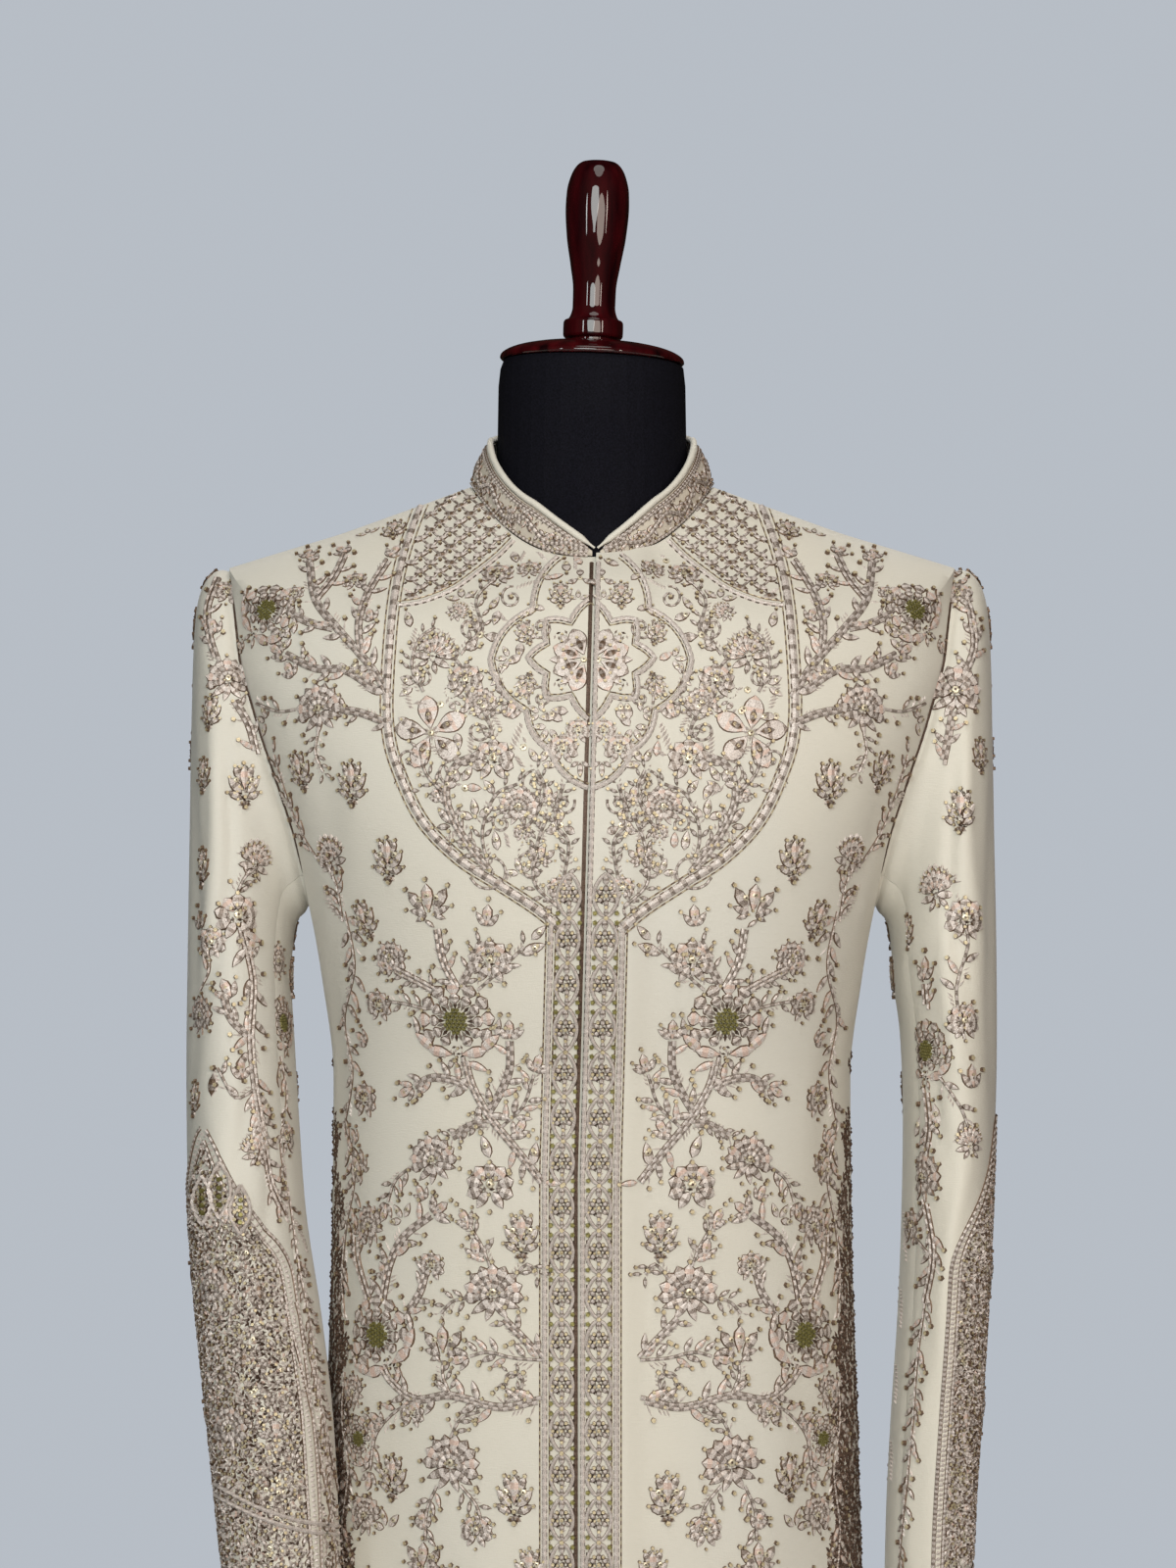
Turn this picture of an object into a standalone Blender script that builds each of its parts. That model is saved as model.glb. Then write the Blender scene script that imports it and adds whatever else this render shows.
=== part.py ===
"""A sherwani coat worn by a limbless dress form on a turned stand.

Metres, +Z up. The front faces -Y and the wearer's left is +X. The origin is on the
floor, under the middle of the stand's base.

Every cloth piece is a thin wall. The body panels lie on one surface, body_surface,
which is read by two numbers: the girth line it is on, a height that runs up the side
and then on along the shoulder seam to the neck, and the angle round the body, 0 at
centre front, a quarter turn at the side and half a turn at centre back. The sleeves
are lofted from the armhole that those panels leave, and the form is the same surface
set back under the cloth.
"""

import math
from collections import namedtuple

import bmesh
import bpy
import numpy as np

WALL = 0.002  # cloth with its lining and embroidery ground
SEAM = 0.0003  # clear width of a seam or of a seat
REST_GAP = 0.0005  # between the form and the cloth it carries

HEM = 0.415
SLIT_TOP = 0.80
SLIT_SPREAD = 0.008  # how far each edge of a side slit has fallen back at the hem
ARMPIT = 1.205
SHOULDER = 1.42
NECK_SIDE = 1.579
TURN = 2 * math.pi
FINE_STEPS = 300  # steps along a girth line when its length is measured

# One row for each girth line. half is the half width, front and back the depths at the
# centre lines, side_z, front_z and back_z the line's height there. square is the
# exponent of the outline, and fall says how close to the side the line keeps its height.
Level = namedtuple("Level", "girth half side_z front_z back_z front back square fall")
LEVELS = (
    Level(HEM, 0.187, 0.415, 0.415, 0.415, 0.150, 0.142, 2.20, 2.0),
    Level(0.600, 0.179, 0.600, 0.600, 0.600, 0.141, 0.135, 2.25, 2.0),
    Level(0.787, 0.170, 0.787, 0.787, 0.787, 0.131, 0.128, 2.30, 2.0),
    Level(0.900, 0.167, 0.900, 0.900, 0.900, 0.124, 0.123, 2.35, 2.0),
    Level(1.000, 0.164, 1.000, 1.000, 1.000, 0.119, 0.111, 2.38, 2.0),
    Level(1.100, 0.163, 1.100, 1.100, 1.100, 0.119, 0.100, 2.40, 2.0),
    Level(1.160, 0.170, 1.160, 1.158, 1.161, 0.126, 0.107, 2.40, 2.0),
    Level(ARMPIT, 0.178, 1.205, 1.201, 1.207, 0.130, 0.114, 2.40, 2.5),
    Level(1.247, 0.190, 1.247, 1.238, 1.250, 0.131, 0.118, 2.38, 4.0),
    Level(1.290, 0.2065, 1.290, 1.275, 1.292, 0.129, 0.119, 2.36, 6.0),
    Level(1.332, 0.221, 1.332, 1.311, 1.333, 0.124, 0.117, 2.34, 8.0),
    Level(1.375, 0.230, 1.375, 1.345, 1.372, 0.116, 0.111, 2.32, 8.0),
    Level(SHOULDER, 0.229, 1.420, 1.376, 1.408, 0.105, 0.102, 2.30, 7.0),
    Level(1.494, 0.158, 1.4417, 1.402, 1.442, 0.092, 0.088, 2.20, 4.5),
    Level(1.553, 0.102, 1.4620, 1.417, 1.465, 0.078, 0.076, 2.08, 3.2),
    Level(NECK_SIDE, 0.0765, 1.4715, 1.4225, 1.474, 0.072, 0.070, 2.00, 2.6),
)
CORNER_SHARE = 8  # how close to the side the outline's corner at the shoulder point shows

BODY_ROWS = 6  # rows between the hem and the waist
ARM_STEPS = 10  # rows up the armhole, and half the points round a sleeve
ARMHOLE_FRONT = 0.052
ARMHOLE_BACK = 0.056
YOKE_ROWS = 5  # rows from the shoulder point to the neck

# The front edge: the wearer's left front laps over the right along a line that leans.
EDGE_TOP_X = 0.0025
EDGE_LOW_X = -0.0075
EDGE_LOW_Z = 1.035
UNDERLAP = 0.022
LIFT = WALL + 0.0004
LIFT_STATIONS = (0.0, 0.012, 0.024, 0.042)
UNDER_STATIONS = (0.0, 0.011, 0.022, 0.036)
FRONT_COLUMNS = 8
BACK_COLUMNS = 10

# Soft flutes of the skirt, from nothing at the hip to their full depth at the hem.
FLUTE_TOP = 0.98
FLUTE_DEPTH = 0.009
FLUTES = ((5.0, 0.4, 0.6), (8.0, 1.9, 0.4))  # turns round the body, phase, share
FLUTE_GROWTH = 1.4
FLAT_FRONT = 0.35  # angle either side of centre front that hangs flat

# Sleeve sections: where the arm's outer and inner outlines cross them, how far forward
# the section hangs, and half its depth from front to back.
Section = namedtuple("Section", "over_x over_z under_x under_z centre_y half_depth")
CAP = (
    Section(0.2390, 1.4175, 0.1815, 1.2020, 0.0010, 0.0545),
    Section(0.2460, 1.4090, 0.1850, 1.1990, 0.0010, 0.0560),
    Section(0.2500, 1.3930, 0.1875, 1.1940, 0.0005, 0.0575),
    Section(0.2520, 1.3620, 0.1890, 1.1860, 0.0000, 0.0595),
    Section(0.2530, 1.3150, 0.1900, 1.1750, -0.0015, 0.0615),
    Section(0.2535, 1.2500, 0.1905, 1.1580, -0.0045, 0.0630),
)
ARM_RIGHT = (
    Section(0.2540, 1.1750, 0.1880, 1.1250, -0.0110, 0.063),
    Section(0.2535, 1.1000, 0.1840, 1.0750, -0.0230, 0.060),
    Section(0.2505, 1.0250, 0.1780, 1.0150, -0.0390, 0.057),
    Section(0.2435, 0.9600, 0.1670, 0.9550, -0.0580, 0.052),
    Section(0.2350, 0.9000, 0.1585, 0.8970, -0.0760, 0.048),
    Section(0.2270, 0.8400, 0.1540, 0.8380, -0.0910, 0.044),
    Section(0.2190, 0.7780, 0.1500, 0.7760, -0.1030, 0.041),
)
ARM_LEFT = (
    Section(0.2540, 1.1750, 0.1945, 1.1250, -0.0110, 0.063),
    Section(0.2530, 1.1000, 0.1955, 1.0750, -0.0200, 0.060),
    Section(0.2490, 1.0250, 0.1935, 1.0150, -0.0320, 0.057),
    Section(0.2445, 0.9600, 0.1900, 0.9550, -0.0440, 0.052),
    Section(0.2395, 0.9000, 0.1850, 0.8970, -0.0550, 0.048),
    Section(0.2345, 0.8400, 0.1810, 0.8380, -0.0650, 0.045),
    Section(0.2315, 0.7780, 0.1790, 0.7760, -0.0720, 0.043),
)
CAP_FADE_RINGS = 4  # rings over which the armhole's own outline fades out of the sleeve
FRONT_SEAM_STEP = 8  # steps round from the top of the arm to the front seam
BACK_SEAM_STEP = 6

COLLAR_WALL = 0.0024
COLLAR_ROWS = 4
COLLAR_COLUMNS = 44
COLLAR_CROWDING = 0.06  # how much closer its columns are at the front ends
COLLAR_END = 0.003  # height left at the rounded front corners
COLLAR_FRONT = 0.0225
COLLAR_SIDE = 0.029
COLLAR_BACK = 0.035
COLLAR_SEAT = 0.0007  # clear of the neckline, whose chords are longer than its own
COLLAR_RISE = 0.042  # length of the front edge over which it rises to full height
COLLAR_RISE_POWER = 1.6
COLLAR_FRONT_DIP = 0.7  # how soon the band is lower in front of the side
COLLAR_LEAN = 0.04
COLLAR_SIDE_LEAN = 0.36
COLLAR_PARTING = 0.0024
PIPING_RADIUS = 0.002
PIPING_SIDES = 8

FORM_BOTTOM = 0.80
FORM_EDGE = 0.012
EASE_STOPS = (FORM_BOTTOM, 1.0, 1.1, ARMPIT, 1.30, SHOULDER, NECK_SIDE)
EASE = (0.006, 0.007, 0.008, 0.005, 0.004, 0.004, 0.004)
STUMP_STOPS = (1.10, ARMPIT, 1.25, 1.33, 1.39, SHOULDER)
STUMP = (0.0, 0.002, 0.010, 0.012, 0.006, 0.0)  # how far the arm plates are set back
NeckRow = namedtuple("NeckRow", "radius side_z front_z back_z")
NECK_ROWS = (
    NeckRow(0.0612, 1.4790, 1.4420, 1.4840),
    NeckRow(0.0598, 1.4990, 1.4870, 1.5000),
    NeckRow(0.0592, 1.5350, 1.5350, 1.5350),
    NeckRow(0.0580, 1.5460, 1.5460, 1.5460),
    NeckRow(0.0560, 1.5494, 1.5494, 1.5494),
)

POLE_RADIUS = 0.015
POLE_SIDES = 20
BASE_SIDES = 40
CAP_SIDES = 36
FINIAL_SIDES = 24
Turned = namedtuple("Turned", "radius height")
BASE = (
    Turned(0.168, 0.0),
    Turned(0.172, 0.004),
    Turned(0.172, 0.016),
    Turned(0.166, 0.022),
    Turned(0.110, 0.027),
    Turned(0.050, 0.032),
    Turned(0.034, 0.040),
    Turned(0.030, 0.060),
    Turned(0.024, 0.068),
)
CAP_BOTTOM = 1.5497
CAP_TILT = math.radians(2)  # the wooden cap and its handle sit a little down to +X
NECK_CAP = (
    Turned(0.0555, 0.0),
    Turned(0.0582, 0.0010),
    Turned(0.0582, 0.0028),
    Turned(0.0550, 0.0060),
    Turned(0.0440, 0.0095),
    Turned(0.0300, 0.0120),
)
FINIAL = (
    Turned(0.0145, 0.0),
    Turned(0.0145, 0.0030),
    Turned(0.0180, 0.0036),
    Turned(0.0188, 0.0048),
    Turned(0.0188, 0.0134),
    Turned(0.0180, 0.0146),
    Turned(0.0160, 0.0152),
    Turned(0.0140, 0.0190),
    Turned(0.0132, 0.0240),
    Turned(0.0136, 0.0340),
    Turned(0.0157, 0.0490),
    Turned(0.0188, 0.0680),
    Turned(0.0201, 0.0860),
    Turned(0.0197, 0.0960),
    Turned(0.0172, 0.1065),
    Turned(0.0138, 0.1125),
    Turned(0.0107, 0.1148),
    Turned(0.0070, 0.1156),
)

# Name, base colour, roughness, metallic.
FINISHES = {
    "silk": ((0.80, 0.74, 0.60), 0.45, 0.0),
    "collar_silk": ((0.74, 0.67, 0.55), 0.5, 0.0),
    "piping_silk": ((0.82, 0.77, 0.65), 0.4, 0.0),
    "form_cloth": ((0.012, 0.013, 0.018), 0.9, 0.0),
    "mahogany": ((0.07, 0.010, 0.007), 0.15, 0.0),
    "pole_metal": ((0.55, 0.55, 0.56), 0.3, 1.0),
}


def curve_through(stops, values, at):
    """A smooth curve through the values at rising stops, with no overshoot."""
    stops = np.asarray(stops, float)
    values = np.asarray(values, float)
    at = np.clip(at, stops[0], stops[-1])
    runs = np.diff(stops)
    slopes = np.diff(values) / runs
    tangents = np.zeros(len(values))
    tangents[0] = slopes[0]
    tangents[-1] = slopes[-1]
    for i in range(1, len(slopes)):
        if slopes[i - 1] * slopes[i] > 0:
            before = 2 * runs[i] + runs[i - 1]
            after = runs[i] + 2 * runs[i - 1]
            tangents[i] = (before + after) / (before / slopes[i - 1] + after / slopes[i])
    k = np.clip(np.searchsorted(stops, at, side="right") - 1, 0, len(runs) - 1)
    s = (at - stops[k]) / runs[k]
    rise = values[k] * (1 + 2 * s) * (1 - s) ** 2 + values[k + 1] * s * s * (3 - 2 * s)
    return rise + runs[k] * (tangents[k] * s * (1 - s) ** 2 - tangents[k + 1] * s * s * (1 - s))


def level_column(name, girth):
    """One column of LEVELS at any girth line."""
    stops = np.array([level.girth for level in LEVELS])
    values = np.array([getattr(level, name) for level in LEVELS])
    return curve_through(stops, values, girth)


def side_column(name, girth, side_share):
    """A column whose curve turns a corner at the shoulder point, but only near the side."""
    stops = np.array([level.girth for level in LEVELS])
    values = np.array([getattr(level, name) for level in LEVELS])
    below = stops <= SHOULDER
    above = stops >= SHOULDER
    low = curve_through(stops[below], values[below], girth)
    high = np.interp(girth, stops[above], values[above])
    cornered = np.where(np.asarray(girth) > SHOULDER, high, low)
    smooth = curve_through(stops, values, girth)
    return smooth + (cornered - smooth) * side_share**CORNER_SHARE


def flute(girth, angle):
    """How far the skirt's soft folds push the cloth out."""
    grown = np.clip((FLUTE_TOP - girth) / (FLUTE_TOP - HEM), 0, 1) ** FLUTE_GROWTH
    wave = sum(share * np.cos(turns * angle + phase) for turns, phase, share in FLUTES)
    flat_front = 1 - np.exp(-((angle / FLAT_FRONT) ** 2))
    return FLUTE_DEPTH * grown * wave * flat_front


def body_surface(girth, angle):
    """Points on the outside of the coat's body; a negative angle is the wearer's right."""
    girth, angle = np.broadcast_arrays(np.asarray(girth, float), np.asarray(angle, float))
    sine = np.sin(angle)
    cosine = np.cos(angle)
    square = level_column("square", girth)
    at_front = cosine >= 0
    depth = np.where(at_front, level_column("front", girth), level_column("back", girth))
    centre_z = np.where(at_front, level_column("front_z", girth), level_column("back_z", girth))
    side_z = side_column("side_z", girth, np.abs(sine))
    half = side_column("half", girth, np.abs(sine))
    x = half * np.sign(sine) * np.abs(sine) ** (2 / square)
    y = -depth * np.sign(cosine) * np.abs(cosine) ** (2 / square)
    dip = 1 - np.abs(sine) ** level_column("fall", girth)
    out = np.hypot(x, y)
    push = 1 + flute(girth, angle) / out
    return np.stack([x * push, y * push, side_z + (centre_z - side_z) * dip], axis=-1)


def body_normal(girth, angle):
    """The outward normal of body_surface."""
    rise = 0.0015
    turn = 0.012
    girth = np.clip(girth, HEM + rise, NECK_SIDE - rise)
    up = body_surface(girth + rise, angle) - body_surface(girth - rise, angle)
    round_body = body_surface(girth, angle + turn) - body_surface(girth, angle - turn)
    normal = np.cross(round_body, up)
    return normal / np.linalg.norm(normal, axis=-1, keepdims=True)


def angle_at_x(girth, x):
    """The angle on the front at which a girth line passes x."""
    share = abs(x) / level_column("half", girth)
    return math.copysign(math.asin(share ** (level_column("square", girth) / 2)), x)


def armhole_angle(step, front):
    """The angle at which the armhole's edge crosses its row, counted up from the armpit."""
    girth = armhole_girth(step)
    reach = math.sin(math.pi * step / ARM_STEPS)
    deep = ARMHOLE_FRONT if front else ARMHOLE_BACK
    depth = level_column("front" if front else "back", girth)
    from_side = math.asin((deep * reach / depth) ** (level_column("square", girth) / 2))
    return math.pi / 2 - from_side if front else math.pi / 2 + from_side


def armhole_girth(step):
    """Girth lines up the armhole, closer together at its two ends."""
    middle = (ARMPIT + SHOULDER) / 2
    return middle - (SHOULDER - ARMPIT) / 2 * math.cos(math.pi * step / ARM_STEPS)


def spread(girth, start, stop, stations, columns):
    """Angles from start to stop: at the stations, which are lengths, then evenly spaced."""
    fine = np.linspace(start, stop, FINE_STEPS)
    points = body_surface(girth, fine)
    steps = np.linalg.norm(np.diff(points, axis=0), axis=1)
    run = np.concatenate([[0], np.cumsum(steps)])
    even = np.linspace(stations[-1], run[-1], columns + 1)[1:]
    return np.interp(np.concatenate([stations, even]), run, fine)


def shortened(girth, start, stop, at_start, at_stop):
    """The angles start and stop, each moved in by a length along the girth line."""
    fine = np.linspace(start, stop, FINE_STEPS)
    points = body_surface(girth, fine)
    steps = np.linalg.norm(np.diff(points, axis=0), axis=1)
    run = np.concatenate([[0], np.cumsum(steps)])
    return np.interp([at_start, run[-1] - at_stop], run, fine)


def panel_rows():
    """Girth lines of the panels, each with its step up the armhole or None."""
    skirt = [(HEM + (SLIT_TOP - HEM) * i / 3, None) for i in range(4)]
    body = [(SLIT_TOP + (ARMPIT - SLIT_TOP) * i / BODY_ROWS, None) for i in range(1, BODY_ROWS)]
    arm = [(armhole_girth(step), step) for step in range(ARM_STEPS + 1)]
    neck = NECK_SIDE - SEAM / 2
    yoke = [(SHOULDER + (neck - SHOULDER) * i / YOKE_ROWS, None) for i in range(1, YOKE_ROWS + 1)]
    return skirt + body + arm + yoke


def side_clearance(girth):
    """How far a panel stays back from the side: half a seam, or the slit below it."""
    return SEAM / 2 + SLIT_SPREAD * max(0.0, (SLIT_TOP - girth) / (SLIT_TOP - HEM))


def edge_x(z):
    """Where the lapping front edge runs at a height."""
    top_z = LEVELS[-1].front_z
    return float(np.interp(z, [EDGE_LOW_Z, top_z], [EDGE_LOW_X, EDGE_TOP_X]))


def front_edge(girth, side):
    """The angle of a front's closing edge, and the lengths from it of its first columns."""
    x = edge_x(level_column("front_z", girth))
    if side > 0:
        return angle_at_x(girth, x), LIFT_STATIONS
    return angle_at_x(girth, x + UNDERLAP), UNDER_STATIONS


def panel_grid(side, front):
    """Outer and inner points of one body panel, rows from the hem to the neck."""
    outer = []
    inner = []
    for girth, step in panel_rows():
        if step is None:
            stop = math.pi / 2
        else:
            stop = armhole_angle(step, front)
        stop *= side
        if front:
            start, stations = front_edge(girth, side)
            at_start = 0.0
            columns = FRONT_COLUMNS
        else:
            start = math.pi * side
            stations = (0.0,)
            at_start = SEAM / 2
            columns = BACK_COLUMNS
        start, stop = shortened(girth, start, stop, at_start, side_clearance(girth))
        angles = spread(girth, start, stop, stations, columns)
        points = body_surface(girth, angles)
        normals = body_normal(girth, angles)
        if front and side > 0:
            level = normals[:3] * np.array([1, 1, 0])
            points[:3] += level * LIFT / (level**2).sum(axis=1, keepdims=True)
        outer.append(points)
        inner.append(points - normals * WALL)
    return np.array(outer), np.array(inner)


def new_object(name, material, points, faces):
    """An object from points and faces, closed and with its faces pointing out."""
    mesh = bpy.data.meshes.new(name)
    mesh.from_pydata([tuple(point) for point in points], [], faces)
    work = bmesh.new()
    work.from_mesh(mesh)
    bmesh.ops.recalc_face_normals(work, faces=work.faces)
    if work.calc_volume(signed=True) < 0:
        bmesh.ops.reverse_faces(work, faces=work.faces)
    work.to_mesh(mesh)
    work.free()
    mesh.shade_smooth()
    mesh.set_sharp_from_angle(angle=math.radians(50))
    obj = bpy.data.objects.new(name, mesh)
    mesh.materials.append(bpy.data.materials[material])
    bpy.context.scene.collection.objects.link(obj)
    return obj


def halved(points, quads):
    """Each quad as two triangles, cut along its shorter diagonal, as its neighbour's is."""
    faces = []
    for a, b, c, d in quads:
        if np.linalg.norm(points[a] - points[c]) <= np.linalg.norm(points[b] - points[d]):
            faces += [(a, b, c), (a, c, d)]
        else:
            faces += [(a, b, d), (b, c, d)]
    return faces


def wall(name, material, outer, inner):
    """A closed wall between two grids of the same shape."""
    rows, columns = outer.shape[:2]
    layer = rows * columns

    def at(i, j, k):
        return k * layer + i * columns + j

    quads = []
    for i in range(rows - 1):
        for j in range(columns - 1):
            for k in (0, 1):
                quads.append((at(i, j, k), at(i + 1, j, k), at(i + 1, j + 1, k), at(i, j + 1, k)))
        for j in (0, columns - 1):
            quads.append((at(i, j, 0), at(i + 1, j, 0), at(i + 1, j, 1), at(i, j, 1)))
    for j in range(columns - 1):
        for i in (0, rows - 1):
            quads.append((at(i, j, 0), at(i, j + 1, 0), at(i, j + 1, 1), at(i, j, 1)))
    points = np.concatenate([outer.reshape(-1, 3), inner.reshape(-1, 3)])
    return new_object(name, material, points, halved(points, quads))


def armhole_loop(side):
    """The armhole's edge, its normals and the way across it, from the top round the front."""
    steps = list(range(ARM_STEPS, -1, -1)) + list(range(1, ARM_STEPS))
    fronts = [True] * (ARM_STEPS + 1) + [False] * (ARM_STEPS - 1)
    girths = np.array([armhole_girth(step) for step in steps])
    angles = side * np.array([armhole_angle(step, front) for step, front in zip(steps, fronts)])
    points = body_surface(girths, angles)
    normals = body_normal(girths, angles)
    along = np.roll(points, -1, axis=0) - np.roll(points, 1, axis=0)
    across = np.cross(along, normals)
    across /= np.linalg.norm(across, axis=1, keepdims=True)
    towards = points.mean(axis=0) - points
    across *= np.sign((across * towards).sum(axis=1, keepdims=True))
    return points, normals, across


def ring_of(section, side, turns):
    """Points round one sleeve section; turns is 0 on top of the arm, then the front."""
    over = np.array([side * section.over_x, section.centre_y, section.over_z])
    under = np.array([side * section.under_x, section.centre_y, section.under_z])
    lengthwise = np.cos(turns)[:, None] * (over - under) / 2
    depthwise = np.sin(turns)[:, None] * np.array([0, -section.half_depth, 0])
    return (over + under) / 2 + lengthwise + depthwise


def sleeve_grid(side):
    """Outer and inner points of a whole sleeve, rings from the armhole to the cuff."""
    points, normals, across = armhole_loop(side)
    turns = TURN * np.arange(2 * ARM_STEPS) / (2 * ARM_STEPS)
    sections = CAP + (ARM_LEFT if side > 0 else ARM_RIGHT)
    seam = Section(
        abs(points[0][0]),
        points[0][2],
        abs(points[ARM_STEPS][0]),
        points[ARM_STEPS][2],
        0.0,
        ARMHOLE_FRONT,
    )
    shape_left = points - ring_of(seam, side, turns)
    rings = [points + across * SEAM]
    for i, section in enumerate(sections):
        fade = max(0.0, 1 - (i + 1) / CAP_FADE_RINGS) ** 1.5
        rings.append(ring_of(section, side, turns) + fade * shape_left)
    outer = np.array(rings)
    along = np.gradient(outer, axis=0)
    around = np.roll(outer, -1, axis=1) - np.roll(outer, 1, axis=1)
    facing = np.cross(around, along) * side
    facing /= np.linalg.norm(facing, axis=2, keepdims=True)
    centres = outer.mean(axis=1, keepdims=True)
    if ((outer - centres) * facing)[1:].sum() < 0:
        facing = -facing
    facing[0] = normals
    return outer, outer - facing * WALL


def seam_cut(grid, first, last):
    """Columns first to last of a ring grid, its two end columns moved in by half a seam."""
    picked = [j % grid.shape[1] for j in range(first, last + 1)]
    part = grid[:, picked].copy()
    for end, inside in ((0, 1), (-1, -2)):
        step = part[:, inside] - part[:, end]
        part[:, end] += step / np.linalg.norm(step, axis=1, keepdims=True) * SEAM / 2
    return part


def build_sleeve(side, word):
    """A sleeve in its two cut pieces, the top sleeve and the under sleeve."""
    outer, inner = sleeve_grid(side)
    pieces = (
        ("top_sleeve_", -BACK_SEAM_STEP, FRONT_SEAM_STEP),
        ("under_sleeve_", FRONT_SEAM_STEP, 2 * ARM_STEPS - BACK_SEAM_STEP),
    )
    for name, first, last in pieces:
        wall(name + word, "silk", seam_cut(outer, first, last), seam_cut(inner, first, last))


def build_panels():
    for side, word in ((1, "left"), (-1, "right")):
        wall("front_" + word, "silk", *panel_grid(side, True))
        wall("back_" + word, "silk", *panel_grid(side, False))
        build_sleeve(side, word)


def collar_height(angle, length):
    """The band's height at a place round the neck, length along it from its front end."""
    rise = 1 - (1 - np.clip(length / COLLAR_RISE, 0, 1)) ** COLLAR_RISE_POWER
    behind = np.clip(-np.cos(angle), 0, 1) ** 2
    before = np.clip(np.cos(angle), 0, 1) ** COLLAR_FRONT_DIP
    full = COLLAR_SIDE + (COLLAR_BACK - COLLAR_SIDE) * behind
    full += (COLLAR_FRONT - COLLAR_SIDE) * before
    return COLLAR_END + (full - COLLAR_END) * rise


def collar_frame():
    """Base points of the collar from its left front end round to the right one."""
    start_left = angle_at_x(NECK_SIDE, EDGE_TOP_X + COLLAR_PARTING)
    start_right = angle_at_x(NECK_SIDE, EDGE_TOP_X - COLLAR_PARTING)
    fine = np.linspace(start_left, TURN + start_right, FINE_STEPS)
    points = body_surface(NECK_SIDE, fine)
    run = np.concatenate([[0], np.cumsum(np.linalg.norm(np.diff(points, axis=0), axis=1))])
    # Closer together at the two front ends, where the edge curves down.
    share = np.arange(COLLAR_COLUMNS + 1) / COLLAR_COLUMNS
    share = share - COLLAR_CROWDING * np.sin(TURN * share)
    angles = np.interp(share * run[-1], run, fine)
    base = body_surface(NECK_SIDE, angles) + np.array([0, 0, COLLAR_SEAT])
    length = np.minimum(share, 1 - share) * run[-1]
    height = collar_height(angles, length)
    out = np.stack([np.sin(angles), -np.cos(angles), np.zeros(len(angles))], axis=1)
    lean = COLLAR_LEAN + COLLAR_SIDE_LEAN * np.sin(angles) ** 6
    up = np.array([0, 0, 1.0]) - out * lean[:, None]
    up /= np.linalg.norm(up, axis=1, keepdims=True)
    facing = out + np.array([0, 0, 1.0]) * lean[:, None]
    facing /= np.linalg.norm(facing, axis=1, keepdims=True)
    return base, up, facing, height


def build_collar():
    base, up, facing, height = collar_frame()
    shares = np.linspace(0, 1, COLLAR_ROWS)
    outer = np.array([base + up * (height * share)[:, None] for share in shares])
    wall("collar", "collar_silk", outer, outer - facing * COLLAR_WALL)
    edge = base + up * height[:, None] - facing * COLLAR_WALL / 2
    away = np.cross(facing, np.gradient(edge, axis=0))
    away *= np.sign((away * up).sum(axis=1, keepdims=True))
    away /= np.linalg.norm(away, axis=1, keepdims=True)
    middle = edge + away * (PIPING_RADIUS + SEAM)
    build_tube("collar_piping", "piping_silk", middle, facing, PIPING_RADIUS, PIPING_SIDES)


def build_tube(name, material, path, facing, radius, sides):
    """A round cord along a path, with flat ends."""
    along = np.gradient(path, axis=0)
    along /= np.linalg.norm(along, axis=1, keepdims=True)
    first = facing - along * (facing * along).sum(axis=1, keepdims=True)
    first /= np.linalg.norm(first, axis=1, keepdims=True)
    second = np.cross(along, first)
    points = []
    for j in range(sides):
        turn = TURN * j / sides
        points.append(path + radius * (first * math.cos(turn) + second * math.sin(turn)))
    points = np.stack(points, axis=1)
    return closed_loft(name, material, points)


def closed_loft(name, material, rings):
    """A solid through closed rings of the same number of points, with flat ends."""
    rings = np.array(rings)
    count, sides = rings.shape[:2]
    points = rings.reshape(-1, 3)
    quads = []
    for i in range(count - 1):
        for j in range(sides):
            k = (j + 1) % sides
            quads.append((i * sides + j, i * sides + k, (i + 1) * sides + k, (i + 1) * sides + j))
    ends = [tuple(range(sides)), tuple((count - 1) * sides + j for j in range(sides))]
    return new_object(name, material, points, halved(points, quads) + ends)


def turned(name, material, profile, base_z, sides):
    """A turned piece from its profile, standing at base_z."""
    angles = TURN * np.arange(sides) / sides
    rings = []
    for row in profile:
        x = row.radius * np.cos(angles)
        y = row.radius * np.sin(angles)
        rings.append(np.stack([x, y, np.full(sides, row.height)], axis=1))
    obj = closed_loft(name, material, rings)
    obj.location.z = base_z
    return obj


def quarter_angles(girth, side, front):
    """Angles of the form's columns in one quarter, from its centre line to its side.

    Past the panels' own closing edges they stand behind the panels' columns.
    """
    if not front:
        return spread(girth, math.pi * side, side * math.pi / 2, (0.0,), BACK_COLUMNS)
    start, stations = front_edge(girth, side)
    angles = spread(girth, start, side * math.pi / 2, stations, FRONT_COLUMNS)
    own = len(stations) - 1
    angles[:own] = np.linspace(0, angles[own], own, endpoint=False)
    return angles


def form_angles(girth):
    """Angles right round the form, from centre front by the wearer's left."""
    left_front = quarter_angles(girth, 1, True)
    left_back = quarter_angles(girth, 1, False)[::-1]
    right_back = quarter_angles(girth, -1, False) + TURN
    right_front = quarter_angles(girth, -1, True)[::-1] + TURN
    return np.concatenate([left_front, left_back[1:], right_back[1:], right_front[1:-1]])


def form_inset(girth, angles):
    """How far the form lies inside the outside of the coat."""
    side = np.abs(np.sin(angles))
    ridge = side**4 if girth > SHOULDER + SEAM else np.zeros(len(angles))
    ease = curve_through(EASE_STOPS, EASE, girth)
    stump = curve_through(STUMP_STOPS, STUMP, girth) * side**6
    return WALL + REST_GAP * ridge + (ease + stump) * (1 - ridge)


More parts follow.
